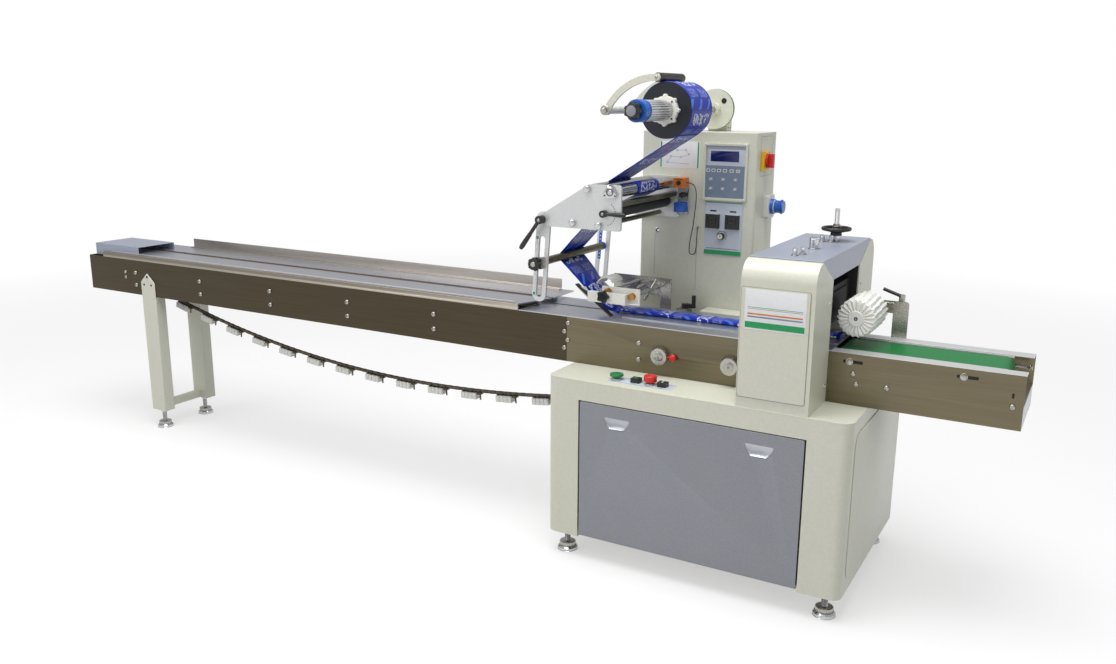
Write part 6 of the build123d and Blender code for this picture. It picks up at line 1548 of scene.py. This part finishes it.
# Film tube along the deck channels: a soft flattened tube, a little uneven along its run
tubeLow, tubeHigh = nodeBox("film_tube")
tubeLook = {"step": 12, "around": 28, "flat": 2.6, "sideways": 0.75, "wave": 1.2,
            "waveAlong": 17, "waveAcross": 1.6, "waveSeed": 0.7, "sideGap": 0.8, "topGap": 0.5,
            "mapAcross": 1.6, "mapStart": 0.025}
bm = bmesh.new()
filmMap = bm.loops.layers.uv.new("film")
tubeMiddle = (tubeLow + tubeHigh) / 2
halfWidth = (tubeHigh.y - tubeLow.y) / 2 - tubeLook["sideGap"]
halfHeight = (tubeHigh.z - tubeLow.z) / 2 - tubeLook["topGap"]
steps = int((tubeHigh.x - tubeLow.x) / tubeLook["step"])
bmesh.ops.create_circle(bm, segments=tubeLook["around"], radius=1)
bmesh.ops.rotate(bm, matrix=Matrix.Rotation(math.pi / 2, 3, "Y"), verts=bm.verts)
lines = bm.edges[:]
for step in range(steps):
    grown = bmesh.ops.extrude_edge_only(bm, edges=lines)["geom"]
    lines = [item for item in grown if isinstance(item, bmesh.types.BMEdge)]
    fresh = [item for item in grown if isinstance(item, bmesh.types.BMVert)]
    bmesh.ops.translate(bm, vec=(1, 0, 0), verts=fresh)
for vert in bm.verts:
    share = vert.co.x / steps
    side = math.copysign(abs(vert.co.y) ** tubeLook["sideways"], vert.co.y)
    rise = math.copysign(abs(vert.co.z) ** (1 / tubeLook["flat"]), vert.co.z)
    spot = (share * tubeLook["waveAlong"], side * tubeLook["waveAcross"], tubeLook["waveSeed"])
    wave = noise.noise(Vector(spot)) * tubeLook["wave"]
    lift = halfHeight - (tubeLook["wave"] - wave) * (rise > 0)
    vert.co = Vector((tubeLow.x + (tubeHigh.x - tubeLow.x) * share,
                      tubeMiddle.y + side * halfWidth, tubeMiddle.z + rise * lift))
for face in bm.faces:
    for loop in face.loops:
        across = tubeLook["mapAcross"] * (loop.vert.co.y - tubeLow.y)
        loop[filmMap].uv = (loop.vert.co.x / 1000, (across + loop.vert.co.z - tubeLow.z) / 1000
                            + tubeLook["mapStart"])
bmesh.ops.holes_fill(bm, edges=bm.edges[:], sides=tubeLook["around"])
bmesh.ops.recalc_face_normals(bm, faces=bm.faces)
tubePiece = closePiece("filmTube", bm, "machine", "blue_film", "printedFilm")
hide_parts("film_tube")
print("film made")

# Roller chain with its hanging carriers, on the same line as the frame's chain
chainLook = {"lowX": -200, "lowZ": 370, "rise": 229.6, "leftX": -1685, "rightX": 564,
             "middleY": -46, "lineR": 56, "endX": 535, "pitch": 15.875, "plate": (26, 11.2, 1.3),
             "plateCorner": 5.5, "innerY": 3.0, "outerY": 4.4, "curveSteps": 400,
             "arcSteps": 60, "roller": ((0, 0), (4.6, 0), (4.6, 6), (0, 6)), "rollerY": 3,
             "rollerSides": 8, "carrierPitch": 152, "first": 60, "count": 13,
             "carrier": (68, 30, 31), "blocks": 4, "blockGap": 1.6, "blockEdge": 1.6,
             "blockDrop": 7, "stud": (3.2, 4, 0.6, 12), "studY": (9, -9), "bar": (13, 2.4, 0.4),
             "barZ": -8, "pinGap": 10, "pinZ": -34, "pinSteps": 14,
             "pin": ((0, 0), (2.2, 0), (3, 2), (3, 26), (4.6, 27), (4.6, 31), (0, 31)),
             "bracket": (16, 20, 11, 1.5), "bracketZ": -13}
curve = chainLook["rise"] / (chainLook["leftX"] - chainLook["lowX"]) ** 2


def chainHeight(x):
    return chainLook["lowZ"] + curve * (x - chainLook["lowX"]) ** 2


def chainLean(x):
    return math.atan(2 * curve * (x - chainLook["lowX"]))


leanLeft = chainLean(chainLook["leftX"])
axleX = chainLook["leftX"] - chainLook["lineR"] * math.sin(leanLeft)
axleZ = chainHeight(chainLook["leftX"]) + chainLook["lineR"] * math.cos(leanLeft)
line = []
curveSteps, arcSteps = chainLook["curveSteps"], chainLook["arcSteps"]
for index in range(curveSteps + 1):
    x = chainLook["rightX"] + (chainLook["leftX"] - chainLook["rightX"]) * index / curveSteps
    line.append((x, chainHeight(x)))
for index in range(1, arcSteps + 1):
    turn = leanLeft - math.pi / 2 - (math.pi + leanLeft) * index / arcSteps
    line.append((axleX + chainLook["lineR"] * math.cos(turn),
                 axleZ + chainLook["lineR"] * math.sin(turn)))
line.append((chainLook["endX"], axleZ + chainLook["lineR"]))


# Points at an even pitch along a line
def evenPoints(points, pitch):
    spots = [points[0]]
    carried = 0
    for start, end in zip(points, points[1:]):
        span = math.dist(start, end)
        reach = pitch - carried
        while reach <= span:
            share = reach / span
            spots.append((start[0] + (end[0] - start[0]) * share,
                          start[1] + (end[1] - start[1]) * share))
            reach += pitch
        carried = span - (reach - pitch)
    return spots


bm = bmesh.new()
pins = evenPoints(line, chainLook["pitch"])
plateLength, plateHeight, plateSheet = chainLook["plate"]
for index, (start, end) in enumerate(zip(pins, pins[1:])):
    lean = math.degrees(math.atan2(end[1] - start[1], end[0] - start[0]))
    reach = chainLook["innerY"] if index % 2 else chainLook["outerY"]
    for side in (-1, 1):
        y = chainLook["middleY"] + side * reach + plateSheet / 2
        place = facing("front", (start[0] + end[0]) / 2, y, (start[1] + end[1]) / 2, lean)
        fasten(bm, tab(plateLength, plateHeight, plateSheet, chainLook["plateCorner"], 0, 3), 0,
               place)
    if index % 2:
        for x, z in (start, end):
            fasten(bm, turned(chainLook["roller"], chainLook["rollerSides"]), 0,
                   facing("front", x, chainLook["middleY"] + chainLook["rollerY"], z))
carrierLength, carrierWidth, carrierHeight = chainLook["carrier"]
blockLength = carrierLength / chainLook["blocks"]
for index in range(chainLook["count"]):
    x = chainLook["leftX"] + chainLook["first"] + chainLook["carrierPitch"] * (index + 1)
    place = (Matrix.Translation((x, chainLook["middleY"], chainHeight(x)))
             @ Matrix.Rotation(-chainLean(x), 4, "Y"))
    for part in range(chainLook["blocks"]):
        shift = (part + 0.5) * blockLength - carrierLength / 2
        fasten(bm, block(blockLength - chainLook["blockGap"], carrierWidth,
                         carrierHeight - chainLook["blockDrop"], chainLook["blockEdge"]), 1,
               shifted(place, shift, 0, -carrierHeight))
        for studY in chainLook["studY"]:
            fasten(bm, rod(*chainLook["stud"]), 2,
                   shifted(place, shift, studY, -chainLook["blockDrop"]))
    fasten(bm, block(carrierLength, *chainLook["bar"]), 2, shifted(place, 0, 0, chainLook["barZ"]))
    pinX = carrierLength / 2 + chainLook["pinGap"]
    fasten(bm, turned(chainLook["pin"], chainLook["pinSteps"]), 2,
           shifted(place, pinX, 0, chainLook["pinZ"]))
    fasten(bm, block(*chainLook["bracket"]), 3, shifted(place, pinX, 0, chainLook["bracketZ"]))
chain = closePiece("pusherChain", bm, "machine", "chain_steel", "oiledSteel", "brushNylon",
                   "oiledSteel", "darkStainless")
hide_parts("pusher_chain")
print("chain made", len(pins), "pins")

# Teeth of the tail sprocket between the chain's rollers, and collars on its axle
sprocketLook = {"r": 52.5, "toothDepth": 2.6, "width": 4.5, "edge": 0.8, "shift": 2.2,
                "collar": (8, 20, 6, 1), "collarY": (-188, 59)}
bm = bmesh.new()
toothCount = round(2 * math.pi * chainLook["lineR"] / chainLook["pitch"])
fasten(bm, lobedDisc(sprocketLook["r"], toothCount, sprocketLook["toothDepth"],
                     sprocketLook["width"], sprocketLook["edge"]), 0,
       facing("front", axleX, chainLook["middleY"] + sprocketLook["shift"], axleZ))
for y in sprocketLook["collarY"]:
    fasten(bm, ring(*sprocketLook["collar"]), 0, facing("back", axleX, y, axleZ))
closePiece("sprocketTeeth", bm, "machine", "chain_steel", "oiledSteel")

# Former: a curved white shoulder, a folding plough, a rubber guide strip, the head's star knob
# and the round arm that carries the shoulder from the back
formerLook = {"shoulder": ((602, 838), (608, 852), (622, 862), (640, 864), (656, 858), (662, 848),
                           (659, 846), (652, 855), (640, 860), (624, 858), (612, 850), (605, 838)),
              "shoulderY": -50, "shoulderSize": (70, 0.6), "sheetSize": (3, 0.6),
              "plough": ((540, 826), (572, 830), (618, 781), (600, 777)), "ploughY": -137,
              "fold": ((548, 819), (560, 826), (612, 788), (614, 779)), "foldY": 8,
              "strip": ((538, -134, 834), (692, -184, 754)), "stripSize": (16, 4),
              "stripEdge": 1,
              "arm": ((660, 70, 803), (700, 40, 826), (755, 6, 844), (748, -20, 820),
                      (736, -44, 786)), "armR": 6, "knob": (18.5, 5, 3, 12, 2.5),
              "knobPlace": (662, -184, 814)}
bm = bmesh.new()
for outline, size, y in (("shoulder", "shoulderSize", "shoulderY"),
                         ("plough", "sheetSize", "ploughY"), ("fold", "sheetSize", "foldY")):
    fasten(bm, flatPlate(formerLook[outline], *formerLook[size]), 0,
           facing("front", 0, formerLook[y], 0))
fasten(bm, block(*formerLook["stripSize"], distance(*formerLook["strip"]),
                 formerLook["stripEdge"]), 1, along(*formerLook["strip"]))
fasten(bm, tube(formerLook["arm"], formerLook["armR"]), 2)
fasten(bm, lobedDisc(*formerLook["knob"]), 1, facing("front", *formerLook["knobPlace"]))
closePiece("formerShoulder", bm, "machine", "white_nylon", "whiteNylon", "blackPhenolic",
           "brightStainless")

# Feeler cable of the edge sensor, a limp 3 mm lead from its head to the cabinet's gland
cable = {"start": (792, 143, 1152), "r": 1.5, "length": 0.3778,
         "route": ((0, 0, 0), (22, 0, 0), (34, 4, -22), (33, 9, -58), (27, 14, -100),
                   (22, 18, -142), (14, 19, -180), (10, 19, -212), (10, 19, -238),
                   (32, 19, -238), (35, 19, -212), (36, 19, -182), (36.5, 19, -160),
                   (36, 19, -146), (36, 29, -146))}
cableCurve = bpy.data.curves.new("sensorCable", "CURVE")
cableCurve.dimensions = "3D"
cableCurve.bevel_depth = cable["r"] / 1000
cableCurve.bevel_resolution = 4
cableCurve.resolution_u = 12
cableCurve.use_fill_caps = True
spline = cableCurve.splines.new("NURBS")
spline.points.add(len(cable["route"]) - 1)
for point, shift in zip(spline.points, cable["route"]):
    point.co = (*[(a + b) / 1000 for a, b in zip(cable["start"], shift)], 1)
spline.order_u = 3
spline.use_endpoint_u = True
cableCurve.materials.append(paint["nitrileRubber"])
cablePiece = bpy.data.objects.new("sensorCable", cableCurve)
sceneCollection.objects.link(cablePiece)
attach(cablePiece, "machine")
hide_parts("sensor_cable")
print("cable made")

# Camera at the photograph's place and angle
cameraPlace = {"place": (2.0473, -2.8801, 1.4251), "pitch": 13.5012, "yaw": 29.9039,
               "roll": 0.3145, "focalPixels": 981.05, "imageWidth": 1116, "sensorWidth": 36.0}
cameraData = bpy.data.cameras.new("photoCamera")
cameraData.sensor_width = cameraPlace["sensorWidth"]
cameraData.lens = (cameraPlace["focalPixels"] / cameraPlace["imageWidth"]
                   * cameraPlace["sensorWidth"])
cameraData.clip_start = 0.05
cameraData.clip_end = 60
camera = bpy.data.objects.new("photoCamera", cameraData)
sceneCollection.objects.link(camera)
camera.matrix_world = (Matrix.Translation(cameraPlace["place"])
                       @ Matrix.Rotation(math.radians(cameraPlace["yaw"]), 4, "Z")
                       @ Matrix.Rotation(math.radians(90 - cameraPlace["pitch"]), 4, "X")
                       @ Matrix.Rotation(math.radians(cameraPlace["roll"]), 4, "Z"))
scene.camera = camera

# Pale floor, which takes the object's shadow and turns to plain white further out
stageLook = {"floorSize": 60.0, "floorDrop": 0.0005, "floor": "B4B4B4", "skyStrength": 0.5,
             "lift": 0.5, "aim": (0.4, 0, 0.7), "whiteFrom": 2.6, "whiteAt": 6.0}
bm = bmesh.new()
bmesh.ops.create_grid(bm, x_segments=1, y_segments=1, size=stageLook["floorSize"] / 2)
floorMesh = bpy.data.meshes.new("floor")
bm.to_mesh(floorMesh)
bm.free()
floor = bpy.data.objects.new("floor", floorMesh)
floor.location = (0, 0, -stageLook["floorDrop"])
sceneCollection.objects.link(floor)
floorPaint, floorTree = emptyMaterial("paleFloor")
floorPlace = addNode(floorTree, "ShaderNodeTexCoord").outputs["Object"]
farOut = addNode(floorTree, "ShaderNodeVectorMath", {"operation": "LENGTH"}, {0: floorPlace})
fade = addNode(floorTree, "ShaderNodeMapRange",
               {"From Min": stageLook["whiteFrom"], "From Max": stageLook["whiteAt"]},
               {"Value": farOut.outputs["Value"]})
floorRays = addNode(floorTree, "ShaderNodeLightPath")
seenOrShiny = addNode(floorTree, "ShaderNodeMath", {"operation": "MAXIMUM"},
                      {0: floorRays.outputs["Is Camera Ray"],
                       1: floorRays.outputs["Is Glossy Ray"]})
seenAtAll = addNode(floorTree, "ShaderNodeMath", {"operation": "MAXIMUM"},
                    {0: seenOrShiny.outputs[0], 1: floorRays.outputs["Is Transmission Ray"]})
lift = addNode(floorTree, "ShaderNodeMath", {"operation": "MULTIPLY", 1: stageLook["lift"]},
               {0: seenAtAll.outputs[0]})
plain = addNode(floorTree, "ShaderNodeBsdfDiffuse", {"Color": hexColour(stageLook["floor"])})
glow = addNode(floorTree, "ShaderNodeEmission", {"Color": (1, 1, 1, 1)},
               {"Strength": lift.outputs[0]})
lifted = addNode(floorTree, "ShaderNodeAddShader", None, {0: plain.outputs[0], 1: glow.outputs[0]})
whiteOut = addNode(floorTree, "ShaderNodeEmission", {"Color": (1, 1, 1, 1), "Strength": 1.0})
whiteShare = addNode(floorTree, "ShaderNodeMath", {"operation": "MULTIPLY"},
                     {0: fade.outputs[0], 1: seenAtAll.outputs[0]})
floorMix = addNode(floorTree, "ShaderNodeMixShader", None,
                   {0: whiteShare.outputs[0], 1: lifted.outputs[0], 2: whiteOut.outputs[0]})
addNode(floorTree, "ShaderNodeOutputMaterial", None, {"Surface": floorMix.outputs[0]})
floorMesh.materials.append(floorPaint)

world = bpy.data.worlds.new("studio")
scene.world = world
world.use_nodes = True
skyTree = world.node_tree
skyTree.nodes.clear()
rays = addNode(skyTree, "ShaderNodeLightPath")
dim = addNode(skyTree, "ShaderNodeBackground", {"Color": (1, 1, 1, 1),
                                                 "Strength": stageLook["skyStrength"]})
white = addNode(skyTree, "ShaderNodeBackground", {"Color": (1, 1, 1, 1), "Strength": 1.0})
seen = addNode(skyTree, "ShaderNodeMixShader", None,
               {0: rays.outputs["Is Camera Ray"], 1: dim.outputs[0], 2: white.outputs[0]})
addNode(skyTree, "ShaderNodeOutputWorld", None, {"Surface": seen.outputs[0]})

# Soft studio lamps: a broad one overhead, a key from the left, a weak fill from the right
lamps = {
    "key": {"place": (-2.6, -4.3, 3.4), "size": 3.0, "power": 54},
    "fill": {"place": (3.4, -4.2, 3.6), "size": 3.0, "power": 12},
    "top": {"place": (0.5, -0.9, 4.9), "size": 3.6, "power": 205},
}
for name, lamp in lamps.items():
    lampData = bpy.data.lights.new(name, "AREA")
    lampData.shape = "SQUARE"
    lampData.size = lamp["size"]
    lampData.energy = lamp["power"]
    lampObject = bpy.data.objects.new(name, lampData)
    lampObject.location = lamp["place"]
    aim = Vector(stageLook["aim"]) - Vector(lamp["place"])
    lampObject.rotation_mode = "QUATERNION"
    lampObject.rotation_quaternion = aim.to_track_quat("-Z", "Y")
    sceneCollection.objects.link(lampObject)
scene.view_settings.view_transform = "Standard"
print("camera and light set")
